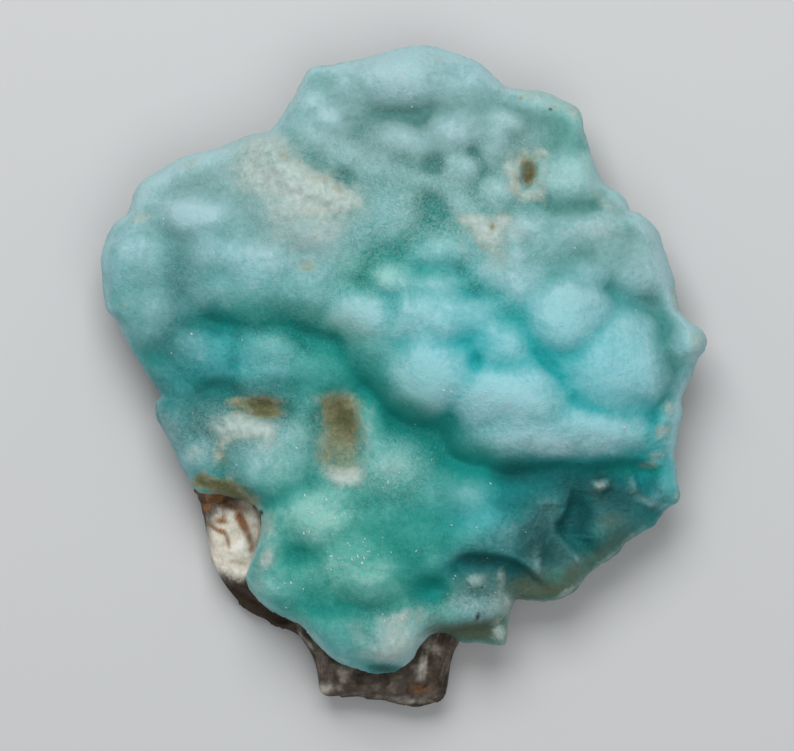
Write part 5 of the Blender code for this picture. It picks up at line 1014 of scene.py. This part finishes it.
def crust_surface():
    """Points and faces of the crust: its face, rows down its side, rings under it, and a fan inside them."""
    angle, part = round_grid(CRUST_GRID, 1)
    numbers = np.arange(angle.size).reshape(angle.shape)
    around = rim_of(angle)
    rows = [crust_side(around, turn) for turn in CRUST_SIDE_TURNS]
    rows = rows + [rows[-1] * (inside, inside, 1) for inside in CRUST_UNDER_RINGS]
    rings = angle.size + np.arange(len(rows) * len(around)).reshape(len(rows), len(around))
    rings = np.vstack([rim_of(numbers), rings])
    middle = np.full(len(around), rings.max() + 1)
    points = [crust_face(angle, part).reshape(-1, 3)] + rows + [rows[-1][:1] * (0, 0, 1)]
    faces = [grid_faces(numbers)] + [ring_faces(*pair) for pair in zip(rings[:-1], rings[1:])]
    faces.append(np.stack([rings[-1], middle, np.roll(rings[-1], -1)], -1))
    return np.concatenate(points), faces


def rock_surface():
    """Points and faces of the rock: its top, rows down its side, and its underside."""
    angle, part = round_grid(ROCK_GRID, ROCK_CROWD)
    top = np.arange(angle.size).reshape(angle.shape)
    around = rim_of(angle)
    rows = [rock_side(around, down) for down in ROCK_SIDE_ROWS]
    rings = angle.size + np.arange(len(rows) * len(around)).reshape(len(rows), len(around))
    under = top + rings.max() + 1
    rings = np.vstack([rim_of(top), rings, rim_of(under)])
    points = [rock_face(angle, part).reshape(-1, 3)] + rows + [rock_base(angle, part).reshape(-1, 3)]
    faces = [grid_faces(top)] + [ring_faces(*pair) for pair in zip(rings[:-1], rings[1:])]
    faces.append(grid_faces(under)[:, ::-1])
    return np.concatenate(points), faces


def grain_surface():
    """Points and faces of the sugar grains: small eight-faced crystals, each turned its own way.

    A grain's middle lies on the crust's face, where the sparkle patches let it. Its six points are two long
    ends and four short ones, along the columns of a random rotation.
    """
    chance = np.random.default_rng(SEED)
    angle = chance.uniform(-np.pi, np.pi, GRAIN_TRIES)
    part = np.sqrt(chance.uniform(0, 1, GRAIN_TRIES))
    seat = crust_face(angle, part)
    odds = GRAIN_STRAYS + (1 - GRAIN_STRAYS) * patches(seat[:, 0], seat[:, 1], SPARKLE) ** 2
    seat = seat[chance.uniform(0, 1, GRAIN_TRIES) < odds]
    size = GRAIN_SIZE * chance.uniform(0.5, 1, (len(seat), 1)) ** 2
    long_way = chance.normal(0, 1, (len(seat), 3)) * (1, 1, 0.6)
    long_way = long_way / np.linalg.norm(long_way, axis=1, keepdims=True)
    broad_way = np.cross(long_way, chance.normal(0, 1, (len(seat), 3)))
    broad_way = broad_way / np.linalg.norm(broad_way, axis=1, keepdims=True)
    thin_way = np.cross(long_way, broad_way)
    ways = [long_way, GRAIN_BREADTH * broad_way, GRAIN_THICKNESS * thin_way]
    points = np.stack([seat + side * size * way for way in ways for side in (1, -1)], 1)
    near_side = [[0, 2, 4], [2, 1, 4], [1, 3, 4], [3, 0, 4]]
    far_side = [[2, 0, 5], [1, 2, 5], [3, 1, 5], [0, 3, 5]]
    faces = 6 * np.arange(len(seat))[:, None, None] + np.array(near_side + far_side)
    return points.reshape(-1, 3), [faces.reshape(-1, 3)]


def made_piece(name, points, faces, nodes, smooth):
    """Mesh object from points in millimetres and lists of faces, riding on the specimen for these nodes."""
    corners = np.concatenate([block.ravel() for block in faces])
    sizes = np.concatenate([np.full(len(block), block.shape[1]) for block in faces])
    starts = np.concatenate([[0], np.cumsum(sizes)[:-1]])
    mesh = bpy.data.meshes.new(name)
    mesh.vertices.add(len(points))
    mesh.vertices.foreach_set("co", (points * MM).ravel())
    mesh.loops.add(len(corners))
    mesh.loops.foreach_set("vertex_index", corners.astype(np.int32))
    mesh.polygons.add(len(sizes))
    mesh.polygons.foreach_set("loop_start", starts.astype(np.int32))
    mesh.polygons.foreach_set("use_smooth", np.full(len(sizes), smooth))
    mesh.update(calc_edges=True)
    piece = bpy.data.objects.new(name, mesh)
    bpy.context.scene.collection.objects.link(piece)
    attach(piece, "root")
    if nodes:
        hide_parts(*nodes)
    return piece


def keep_values(piece, values):
    """Store each named value of every point as an attribute that the material reads."""
    for name, value in values.items():
        layer = piece.data.attributes.new(name, "FLOAT", "POINT")
        layer.data.foreach_set("value", np.clip(value, 0, 1).astype(np.float32))


class Nodes:
    """Short way to place and join the nodes of one material or group."""

    def __init__(self, tree):
        self.tree = tree
        self.count = 0

    def add(self, kind, **settings):
        """New node with these settings, set beside the last one, twelve to a row."""
        node = self.tree.nodes.new(kind)
        self.count = self.count + 1
        node.location = (180 * (self.count % 12), -240 * (self.count // 12))
        for name, value in settings.items():
            setattr(node, name, value)
        return node

    def feed(self, socket, value):
        """Join a node's result to the socket, or set a plain value on it."""
        if isinstance(value, bpy.types.NodeSocket):
            self.tree.links.new(value, socket)
        else:
            socket.default_value = value

    def value(self, name):
        """A value kept at every point of the mesh."""
        return self.add("ShaderNodeAttribute", attribute_name=name).outputs["Fac"]

    def place(self):
        """Place on the piece, in metres."""
        return self.add("ShaderNodeTexCoord").outputs["Object"]

    def work_out(self, operation, *numbers):
        """Result of one sum on two or three numbers."""
        node = self.add("ShaderNodeMath", operation=operation)
        for socket, number in zip(node.inputs, numbers):
            self.feed(socket, number)
        return node.outputs[0]

    def plus(self, first, *others):
        """All the numbers added up."""
        for other in others:
            first = self.work_out("ADD", first, other)
        return first

    def times(self, first, second):
        """Product of two numbers."""
        return self.work_out("MULTIPLY", first, second)

    def line(self, value, slope, start):
        """Value times a slope, plus a start."""
        return self.work_out("MULTIPLY_ADD", value, slope, start)

    def swing(self, value, amount):
        """Value from 0 to 1 made to swing evenly above and below nought, by this amount in all."""
        return self.line(value, amount, -amount / 2)

    def span(self, value, low, high):
        """Smooth step from 0 at the low end to 1 at the high end."""
        node = self.add("ShaderNodeMapRange", interpolation_type="SMOOTHSTEP")
        for socket, number in zip(node.inputs, (value, low, high)):
            self.feed(socket, number)
        return node.outputs["Result"]

    def blend(self, share, first, second):
        """Second colour laid over the first by this share."""
        node = self.add("ShaderNodeMix", data_type="RGBA", clamp_factor=True)
        self.feed(node.inputs["Factor"], share)
        self.feed(node.inputs[6], first)
        self.feed(node.inputs[7], second)
        return node.outputs[2]

    def ramp(self, value, stops):
        """Colour read off a ramp of (place, colour) stops."""
        node = self.add("ShaderNodeValToRGB")
        strip = node.color_ramp.elements
        while len(strip) < len(stops):
            strip.new(1)
        for element, (at, colour) in zip(strip, stops):
            element.position = at
            element.color = (*colour, 1)
        self.feed(node.inputs["Fac"], value)
        return node.outputs["Color"]

    def noise(self, place, size, detail, rough=0.5, swirl=0.0):
        """Cloudy pattern from 0 to 1 with features of this size in millimetres, made wispy by a swirl."""
        node = self.add("ShaderNodeTexNoise")
        self.feed(node.inputs["Vector"], place)
        self.feed(node.inputs["Scale"], self.work_out("DIVIDE", 1 / MM, size))
        self.feed(node.inputs["Detail"], detail)
        self.feed(node.inputs["Roughness"], rough)
        self.feed(node.inputs["Distortion"], swirl)
        return node.outputs["Fac"]


# Patches on both stones: how far in a gritty patch fades, and how raggedly a stain's edge runs
GRITTY_FADE = 0.3
RAGGED_SWING = 0.9

# Specks, painted glints of the small crystals and partly their pale colour: size of their clusters and of
# the points, each with the span of noise over which it appears
CLUSTER_SIZE = 2.2
CLUSTER_SPAN = (0.45, 0.65)
SPECK_SIZE = 0.5
SPECK_SPAN = (0.66, 0.74)

# Each stone's own values for the grain that both share: sizes in millimetres
CRUST_GRAIN = {
    "Mottle Size": 4.2, "Mottle Roughness": 0.6, "Mottle Swirl": 0.9,
    "Grain Size": 0.75, "Grain Roughness": 0.75,
}
ROCK_GRAIN = {
    "Mottle Size": 2.4, "Mottle Roughness": 0.62, "Mottle Swirl": 0.0,
    "Grain Size": 0.7, "Grain Roughness": 0.65,
}


def mineral_grain():
    """Group of the grain that both stones show: a cloudy mottle, wispy where it swirls, and fine grain."""
    group = bpy.data.node_groups.new("mineral_grain", "ShaderNodeTree")
    for title in CRUST_GRAIN:
        group.interface.new_socket(title, in_out="INPUT", socket_type="NodeSocketFloat")
    for title in ("Mottle", "Grain"):
        group.interface.new_socket(title, in_out="OUTPUT", socket_type="NodeSocketFloat")
    nodes = Nodes(group)
    own = nodes.add("NodeGroupInput").outputs
    out = nodes.add("NodeGroupOutput").inputs
    place = nodes.place()
    mottle = nodes.noise(place, own["Mottle Size"], 5.0, own["Mottle Roughness"], own["Mottle Swirl"])
    nodes.feed(out["Mottle"], mottle)
    nodes.feed(out["Grain"], nodes.noise(place, own["Grain Size"], 3.0, own["Grain Roughness"]))
    return group


def placed_grain(nodes, grain, own_values):
    """Mottle and grain of the shared group, placed in one material with that material's own values."""
    node = nodes.add("ShaderNodeGroup", node_tree=grain)
    for title, number in own_values.items():
        node.inputs[title].default_value = number
    return node.outputs["Mottle"], node.outputs["Grain"]


def new_material(name, finish):
    """Material, its nodes and its shader, with the finish's plain values set on the shader's own sockets."""
    material = bpy.data.materials.new(name)
    material.use_nodes = True
    shader = material.node_tree.nodes["Principled BSDF"]
    for title, value in finish.items():
        shader.inputs[title].default_value = value
    return material, Nodes(material.node_tree), shader


def roughen(nodes, shader, height, strength, depth):
    """Tilt the shader's normal by a bump of this height pattern, strength, and depth in millimetres."""
    bump = nodes.add("ShaderNodeBump")
    nodes.feed(bump.inputs["Strength"], strength)
    nodes.feed(bump.inputs["Distance"], depth * MM)
    nodes.feed(bump.inputs["Height"], height)
    nodes.feed(shader.inputs["Normal"], bump.outputs["Normal"])


def gritty_patch(nodes, name, grain, bite):
    """A patch plus half the bite, less the bite times the grain, faded out to nothing outside the patch."""
    patch = nodes.value(name)
    share = nodes.line(grain, -bite, nodes.plus(patch, bite / 2))
    return nodes.times(share, nodes.span(patch, 0, GRITTY_FADE))


def ragged_patch(nodes, name, cloud):
    """A patch plus a cloudy pattern that swings about nought, which breaks up its edge."""
    return nodes.plus(nodes.value(name), nodes.swing(cloud, RAGGED_SWING))


def painted_glints(nodes):
    """Bright points that show only inside cloudy clusters, painted glints of small crystals in part: one
    step of a broad noise times one of a fine.
    """
    place = nodes.place()
    clusters = nodes.span(nodes.noise(place, CLUSTER_SIZE, 1.0), *CLUSTER_SPAN)
    points = nodes.span(nodes.noise(place, SPECK_SIZE, 1.0), *SPECK_SPAN)
    return nodes.times(clusters, points)


# The crust's colours from its deepest valleys to its crests, in the plain, green, blue and grey parts and on
# the cream and ochre stains; then its single colours, its finish, and the strength and depth of its bump
CRUST_STOPS = [
    (0.00, (0.001, 0.240, 0.215)), (0.25, (0.010, 0.320, 0.305)), (0.50, (0.058, 0.400, 0.400)),
    (0.75, (0.165, 0.490, 0.510)), (1.00, (0.330, 0.640, 0.680)),
]
GREEN_STOPS = [
    (0.00, (0.001, 0.200, 0.160)), (0.25, (0.008, 0.275, 0.225)), (0.50, (0.040, 0.350, 0.290)),
    (0.75, (0.120, 0.460, 0.395)), (1.00, (0.270, 0.610, 0.540)),
]
BLUE_STOPS = [
    (0.00, (0.004, 0.330, 0.350)), (0.25, (0.022, 0.430, 0.455)), (0.50, (0.075, 0.485, 0.520)),
    (0.75, (0.165, 0.555, 0.600)), (1.00, (0.310, 0.670, 0.730)),
]
GREY_STOPS = [
    (0.00, (0.085, 0.245, 0.228)), (0.25, (0.145, 0.315, 0.298)), (0.50, (0.215, 0.400, 0.392)),
    (0.75, (0.290, 0.490, 0.505)), (1.00, (0.420, 0.630, 0.660)),
]
CREAM_STOPS = [
    (0.00, (0.250, 0.340, 0.290)), (0.35, (0.400, 0.510, 0.470)), (0.65, (0.540, 0.650, 0.620)),
    (1.00, (0.740, 0.830, 0.810)),
]
OCHRE_STOPS = [
    (0.00, (0.055, 0.068, 0.024)), (0.30, (0.150, 0.155, 0.072)), (0.60, (0.300, 0.290, 0.170)),
    (1.00, (0.480, 0.480, 0.360)),
]
# Pale of the bright points, painted glints in part
CRUST_SPARK = (0.62, 0.82, 0.82, 1)
CRUST_FROST = (0.600, 0.740, 0.760, 1)
# Deep teal, partly the crust's own colour, partly painted shade
CRUST_DEEP_AND_SHADE = (0.001, 0.290, 0.255, 1)
# Murky dark teal, partly painted shade
CRUST_MURKY_AND_SHADE = (0.003, 0.085, 0.088, 1)
CRUST_OLIVE = (0.085, 0.120, 0.075, 1)
CRUST_PITCH = (0.006, 0.008, 0.006, 1)
CRUST_FINISH = {
    "Metallic": 0.0, "IOR": 1.53, "Specular IOR Level": 0.12,
    "Subsurface Weight": 0.45, "Subsurface Radius": (0.35, 1.0, 0.95), "Subsurface Scale": 1.6 * MM,
    "Sheen Weight": 0.03, "Sheen Roughness": 0.5, "Sheen Tint": (0.80, 0.95, 1.0, 1),
}
CRUST_BUMP = (0.9, 0.22)

# How far each pattern moves the crust's tone along its ramps: mottle, sugar grain, painted light and shade,
# and the painted rim light; how much the smooth patches even out the mottle; and the grain's bite out of the
# dark patches
MOTTLE_SWING = 0.9
SUGAR_SWING = 0.5
PAINTED_LIGHT_AND_SHADE_SWING = 0.8
RIM_LIGHT_LIFT = 0.45
SMOOTHING = 0.65
CRUST_BITE = 0.5

# Frost: what the crest adds to it, the span over which it appears, and its strength on bare crust and what
# the powder adds
FROST_CREST = 0.25
FROST_SPAN = (0.38, 0.92)
FROST_BARE = 0.05
FROST_POWDER = 0.48

# Stains: name, colours, how the shade runs with the patch, and where it starts
STAINS = [("cream", CREAM_STOPS, 0.5, 0.0), ("ochre", OCHRE_STOPS, -0.85, 1.0)]
STAIN_FADE = 0.15


def crust_tone(nodes, mottle, sugar):
    """Place along the colour ramps: crest, mottle, sugar grain, painted rim light, and painted light and
    shade, added up.
    """
    tone = nodes.plus(nodes.value("crest"), mottle, sugar)
    tone = nodes.line(nodes.value("rim"), RIM_LIGHT_LIFT, tone)
    return nodes.plus(tone, nodes.swing(nodes.value("painted_light_and_shade"), PAINTED_LIGHT_AND_SHADE_SWING))


def aragonite_material(grain):
    """Frosted translucent carbonate: deep teal in the valleys, pale on the crests, stained in patches.

    Frost whitens the grains that stand highest, most of all on the powder. Mottle is evened out on the
    smooth parts, the cream and ochre stains have ragged edges, and bright points, painted glints in part,
    show in the sparkle patches. The deep teal of the valleys and the pale of the crests are partly painted
    shade and painted highlight.
    """
    material, nodes, shader = new_material("aragonite", CRUST_FINISH)
    cloudy, fine = placed_grain(nodes, grain, CRUST_GRAIN)
    evened = nodes.line(nodes.value("smooth"), -SMOOTHING, 1.0)
    mottle = nodes.times(nodes.swing(cloudy, MOTTLE_SWING), evened)
    sugar = nodes.swing(fine, SUGAR_SWING)
    tone = crust_tone(nodes, mottle, sugar)
    colour = nodes.ramp(tone, CRUST_STOPS)
    for name, stops in (("green", GREEN_STOPS), ("blue", BLUE_STOPS), ("grey", GREY_STOPS)):
        colour = nodes.blend(nodes.value(name), colour, nodes.ramp(tone, stops))
    for name, flat in (("deep", CRUST_DEEP_AND_SHADE), ("murky_and_shade", CRUST_MURKY_AND_SHADE), ("olive", CRUST_OLIVE)):
        colour = nodes.blend(gritty_patch(nodes, name, fine, CRUST_BITE), colour, flat)
    frost = nodes.noise(nodes.place(), 0.8, 3.0, 0.7, 2.5)
    frosted = nodes.span(nodes.line(nodes.value("crest"), FROST_CREST, frost), *FROST_SPAN)
    frosted = nodes.times(frosted, nodes.line(nodes.value("powder"), FROST_POWDER, FROST_BARE))
    colour = nodes.blend(frosted, colour, CRUST_FROST)
    cloud = nodes.noise(nodes.place(), 1.3, 5.0, 0.75, 1.2)
    for name, stops, slope, start in STAINS:
        share = nodes.span(nodes.plus(ragged_patch(nodes, name, cloud), mottle), 0.0, 0.9)
        share = nodes.times(share, nodes.span(nodes.value(name), 0, STAIN_FADE))
        shade = nodes.line(nodes.value(name), slope, start)
        shade = nodes.plus(shade, nodes.line(cloud, 0.8, -0.3), sugar)
        colour = nodes.blend(share, colour, nodes.ramp(shade, stops))
    colour = nodes.blend(nodes.value("pitch"), colour, CRUST_PITCH)
    glints = nodes.times(painted_glints(nodes), nodes.value("sparkle"))
    nodes.feed(shader.inputs["Base Color"], nodes.blend(glints, colour, CRUST_SPARK))
    nodes.feed(shader.inputs["Roughness"], nodes.line(glints, -0.3, nodes.line(fine, 0.3, 0.38)))
    roughen(nodes, shader, nodes.plus(fine, nodes.times(frost, 0.8), glints), *CRUST_BUMP)
    return material


# The rock's colours from its darkest grains to its palest, on its plain, white and rusty parts; then the
# colour of its hollows and brown side, partly painted shade, its finish, and the strength and depth of its
# bump
ROCK_STOPS = [
    (0.00, (0.028, 0.018, 0.012)), (0.35, (0.100, 0.076, 0.059)), (0.60, (0.205, 0.166, 0.138)),
    (0.80, (0.360, 0.312, 0.270)), (1.00, (0.540, 0.495, 0.445)),
]
WHITE_STOPS = [
    (0.00, (0.360, 0.320, 0.240)), (0.35, (0.600, 0.560, 0.460)), (0.70, (0.800, 0.770, 0.680)),
    (1.00, (0.900, 0.890, 0.850)),
]
RUST_STOPS = [
    (0.00, (0.120, 0.045, 0.013)), (0.40, (0.300, 0.135, 0.048)), (0.75, (0.480, 0.280, 0.130)),
    (1.00, (0.650, 0.500, 0.330)),
]
ROCK_BROWN_AND_SHADE = (0.034, 0.017, 0.007, 1)
ROCK_FINISH = {"Metallic": 0.0, "Specular IOR Level": 0.35}
ROCK_BUMP = (0.6, 0.25)

# How far crumbs and crests move the rock's tone along its ramps, how much paler the white patches are than
# the plain rock at the same tone, and the crumbs' bite out of the dark hollows
CRUMB_SWING = 0.45
CREST_SWING = 0.8
WHITE_LIFT = 0.25
ROCK_BITE = 0.8


def rock_material(grain):
    """Rough host rock: grey-brown with paler grains, a white face with rust stains, and dark hollows.

    The tone along the ramps is the cloudy mottle, the crumbs and the crest value, added up. The dark hollows
    and the brown side are partly painted shade.
    """
    material, nodes, shader = new_material("host_rock", ROCK_FINISH)
    cloud, crumbs = placed_grain(nodes, grain, ROCK_GRAIN)
    grit = nodes.noise(nodes.place(), 0.75, 3.0, 0.75)
    crest = nodes.swing(nodes.value("crest"), CREST_SWING)
    tone = nodes.plus(nodes.line(cloud, 1.3, -0.35), nodes.swing(crumbs, CRUMB_SWING), crest)
    colour = nodes.ramp(tone, ROCK_STOPS)
    for name, stops, lift in (("white", WHITE_STOPS, WHITE_LIFT), ("rust", RUST_STOPS, 0.0)):
        share = nodes.span(ragged_patch(nodes, name, cloud), 0.1, 0.9)
        colour = nodes.blend(share, colour, nodes.ramp(nodes.plus(tone, lift), stops))
    colour = nodes.blend(gritty_patch(nodes, "dark", crumbs, ROCK_BITE), colour, ROCK_BROWN_AND_SHADE)
    nodes.feed(shader.inputs["Base Color"], colour)
    nodes.feed(shader.inputs["Roughness"], nodes.line(crumbs, 0.35, 0.55))
    roughen(nodes, shader, nodes.plus(crumbs, grit), *ROCK_BUMP)
    return material


# The sugar crystals' colours, and their finish
SUGAR_STOPS = [(0.3, (0.36, 0.66, 0.66)), (0.7, (0.80, 0.93, 0.93))]
SUGAR_FINISH = {
    "Roughness": 0.25, "IOR": 1.53,
    "Subsurface Weight": 0.5, "Subsurface Radius": (0.5, 1.0, 1.0), "Subsurface Scale": 0.6 * MM,
}


def sugar_material():
    """Clear-white small crystals with bright faces, a little cloudy from one to the next."""
    material, nodes, shader = new_material("sugar_grains", SUGAR_FINISH)
    colour = nodes.ramp(nodes.noise(nodes.place(), 1.1, 2.0), SUGAR_STOPS)
    nodes.feed(shader.inputs["Base Color"], colour)
    return material


def crest_and_crease_shade(x, y):
    """How far each place stands above the face round it: a half on level ground, and less in creases.

    Its own height is held against the heights averaged over near and wide surroundings. Creases count most
    where the crust is crisp. Raised places come out paler and creases deeper, partly as the mineral's own
    colour and partly as painted highlight and painted shade.
    """
    own = blurred(RELIEF, OWN_WIDTH)
    rise = NEAR_CREST * (own - blurred(RELIEF, NEAR_WIDTH))
    rise = rise + WIDE_CREST * (own - blurred(RELIEF, WIDE_WIDTH))
    creases = CREASE_SHADE * np.minimum(own - blurred(RELIEF, CREASE_WIDTH) + CREASE_START, 0)
    crisp = patches(x, y, CRISP)
    return 0.5 + read_map(rise, x, y) * (1 + 0.5 * crisp) + read_map(creases, x, y) * (0.15 + 1.1 * crisp)


def build_crust(grain):
    """The crust's face, with its patches, crests, painted light and shade, and painted rim light kept at
    every point.
    """
    points, faces = crust_surface()
    piece = made_piece("aragonite_face", points, faces, ["aragonite_crust"], True)
    x, y = points[:, :2].T
    values = {name: patches(x, y, spots) for name, spots in CRUST_PATCHES.items()}
    values["crest"] = crest_and_crease_shade(x, y)
    # Painted light and shade: the LIGHT patches raise the tone, the SHADE patches lower it
    values["painted_light_and_shade"] = 0.5 + 0.5 * (patches(x, y, LIGHT) - patches(x, y, SHADE))
    # Painted rim light, partly a paler worn edge: a pale band and a thin pale line inside the outline, left
    # off where the rim is unlit
    inside = reach(CRUST_OUTLINE, np.arctan2(y, x)) - np.hypot(x, y)
    rim = np.clip(1 - inside / RIM_LIGHT_BAND, 0, 1) ** 2 * (1 - patches(x, y, UNLIT_RIM))
    values["rim"] = rim + THIN_RIM_LIGHT_STRENGTH * np.clip(1 - inside / THIN_RIM_LIGHT, 0, 1)
    keep_values(piece, values)
    piece.data.materials.append(aragonite_material(grain))


def build_rock(grain):
    """The host rock, with its patches and fine crests kept at every point."""
    points, faces = rock_surface()
    piece = made_piece("host_rock_slab", points, faces, ["matrix_rock"], True)
    x, y = points[:, :2].T
    values = {name: patches(x, y, spots) for name, spots in ROCK_PATCHES.items()}
    values["crest"] = 0.5 + 0.5 * rock_fine(x, y)
    keep_values(piece, values)
    piece.data.materials.append(rock_material(grain))


def build_grains():
    """The sugar crystals on the sparkling lumps."""
    points, faces = grain_surface()
    piece = made_piece("sugar_crystals", points, faces, [], False)
    piece.data.materials.append(sugar_material())


def build_floor():
    """Plain pale floor under the specimen."""
    mesh = bpy.data.meshes.new("floor")
    corners = [(-FLOOR_HALF, -FLOOR_HALF, 0), (FLOOR_HALF, -FLOOR_HALF, 0)]
    corners = corners + [(FLOOR_HALF, FLOOR_HALF, 0), (-FLOOR_HALF, FLOOR_HALF, 0)]
    mesh.from_pydata(corners, [], [(0, 1, 2, 3)])
    floor = bpy.data.objects.new("floor", mesh)
    bpy.context.scene.collection.objects.link(floor)
    material, _, _ = new_material("floor", FLOOR_FINISH)
    mesh.materials.append(material)


def soft_light(name, place, size, energy):
    """Square soft box at a place in metres, turned to the specimen."""
    light = bpy.data.lights.new(name, "AREA")
    light.size = size
    light.energy = energy
    light.color = LIGHT_COLOUR
    holder = bpy.data.objects.new(name, light)
    holder.location = place
    holder.rotation_euler = (-Vector(place)).to_track_quat("-Z", "Y").to_euler()
    bpy.context.scene.collection.objects.link(holder)


def build_light():
    """One large soft box beyond the specimen's top edge, a weak one opposite, and an even pale surround."""
    soft_light("key", KEY_PLACE, KEY_SIZE, KEY_ENERGY)
    soft_light("fill", FILL_PLACE, FILL_SIZE, FILL_ENERGY)
    world = bpy.data.worlds.new("surround")
    world.use_nodes = True
    world.node_tree.nodes["Background"].inputs["Color"].default_value = SURROUND_COLOUR
    world.node_tree.nodes["Background"].inputs["Strength"].default_value = SURROUND_STRENGTH
    bpy.context.scene.world = world


def build_camera():
    """Camera straight above the specimen, as the photograph looks at the crust's face."""
    lens = bpy.data.cameras.new("camera")
    lens.sensor_width = SENSOR_WIDTH
    lens.lens = lens.sensor_width * CAMERA_HEIGHT / VIEW_WIDTH
    lens.clip_end = 10
    camera = bpy.data.objects.new("camera", lens)
    camera.location = (CAMERA_X * MM, CAMERA_Y * MM, (CAMERA_HEIGHT + SILHOUETTE) * MM)
    bpy.context.scene.collection.objects.link(camera)
    bpy.context.scene.camera = camera


RELIEF = grown_relief()
bpy.context.scene.view_settings.view_transform = "Standard"
shared_grain = mineral_grain()
build_crust(shared_grain)
build_rock(shared_grain)
build_grains()
build_floor()
build_light()
build_camera()
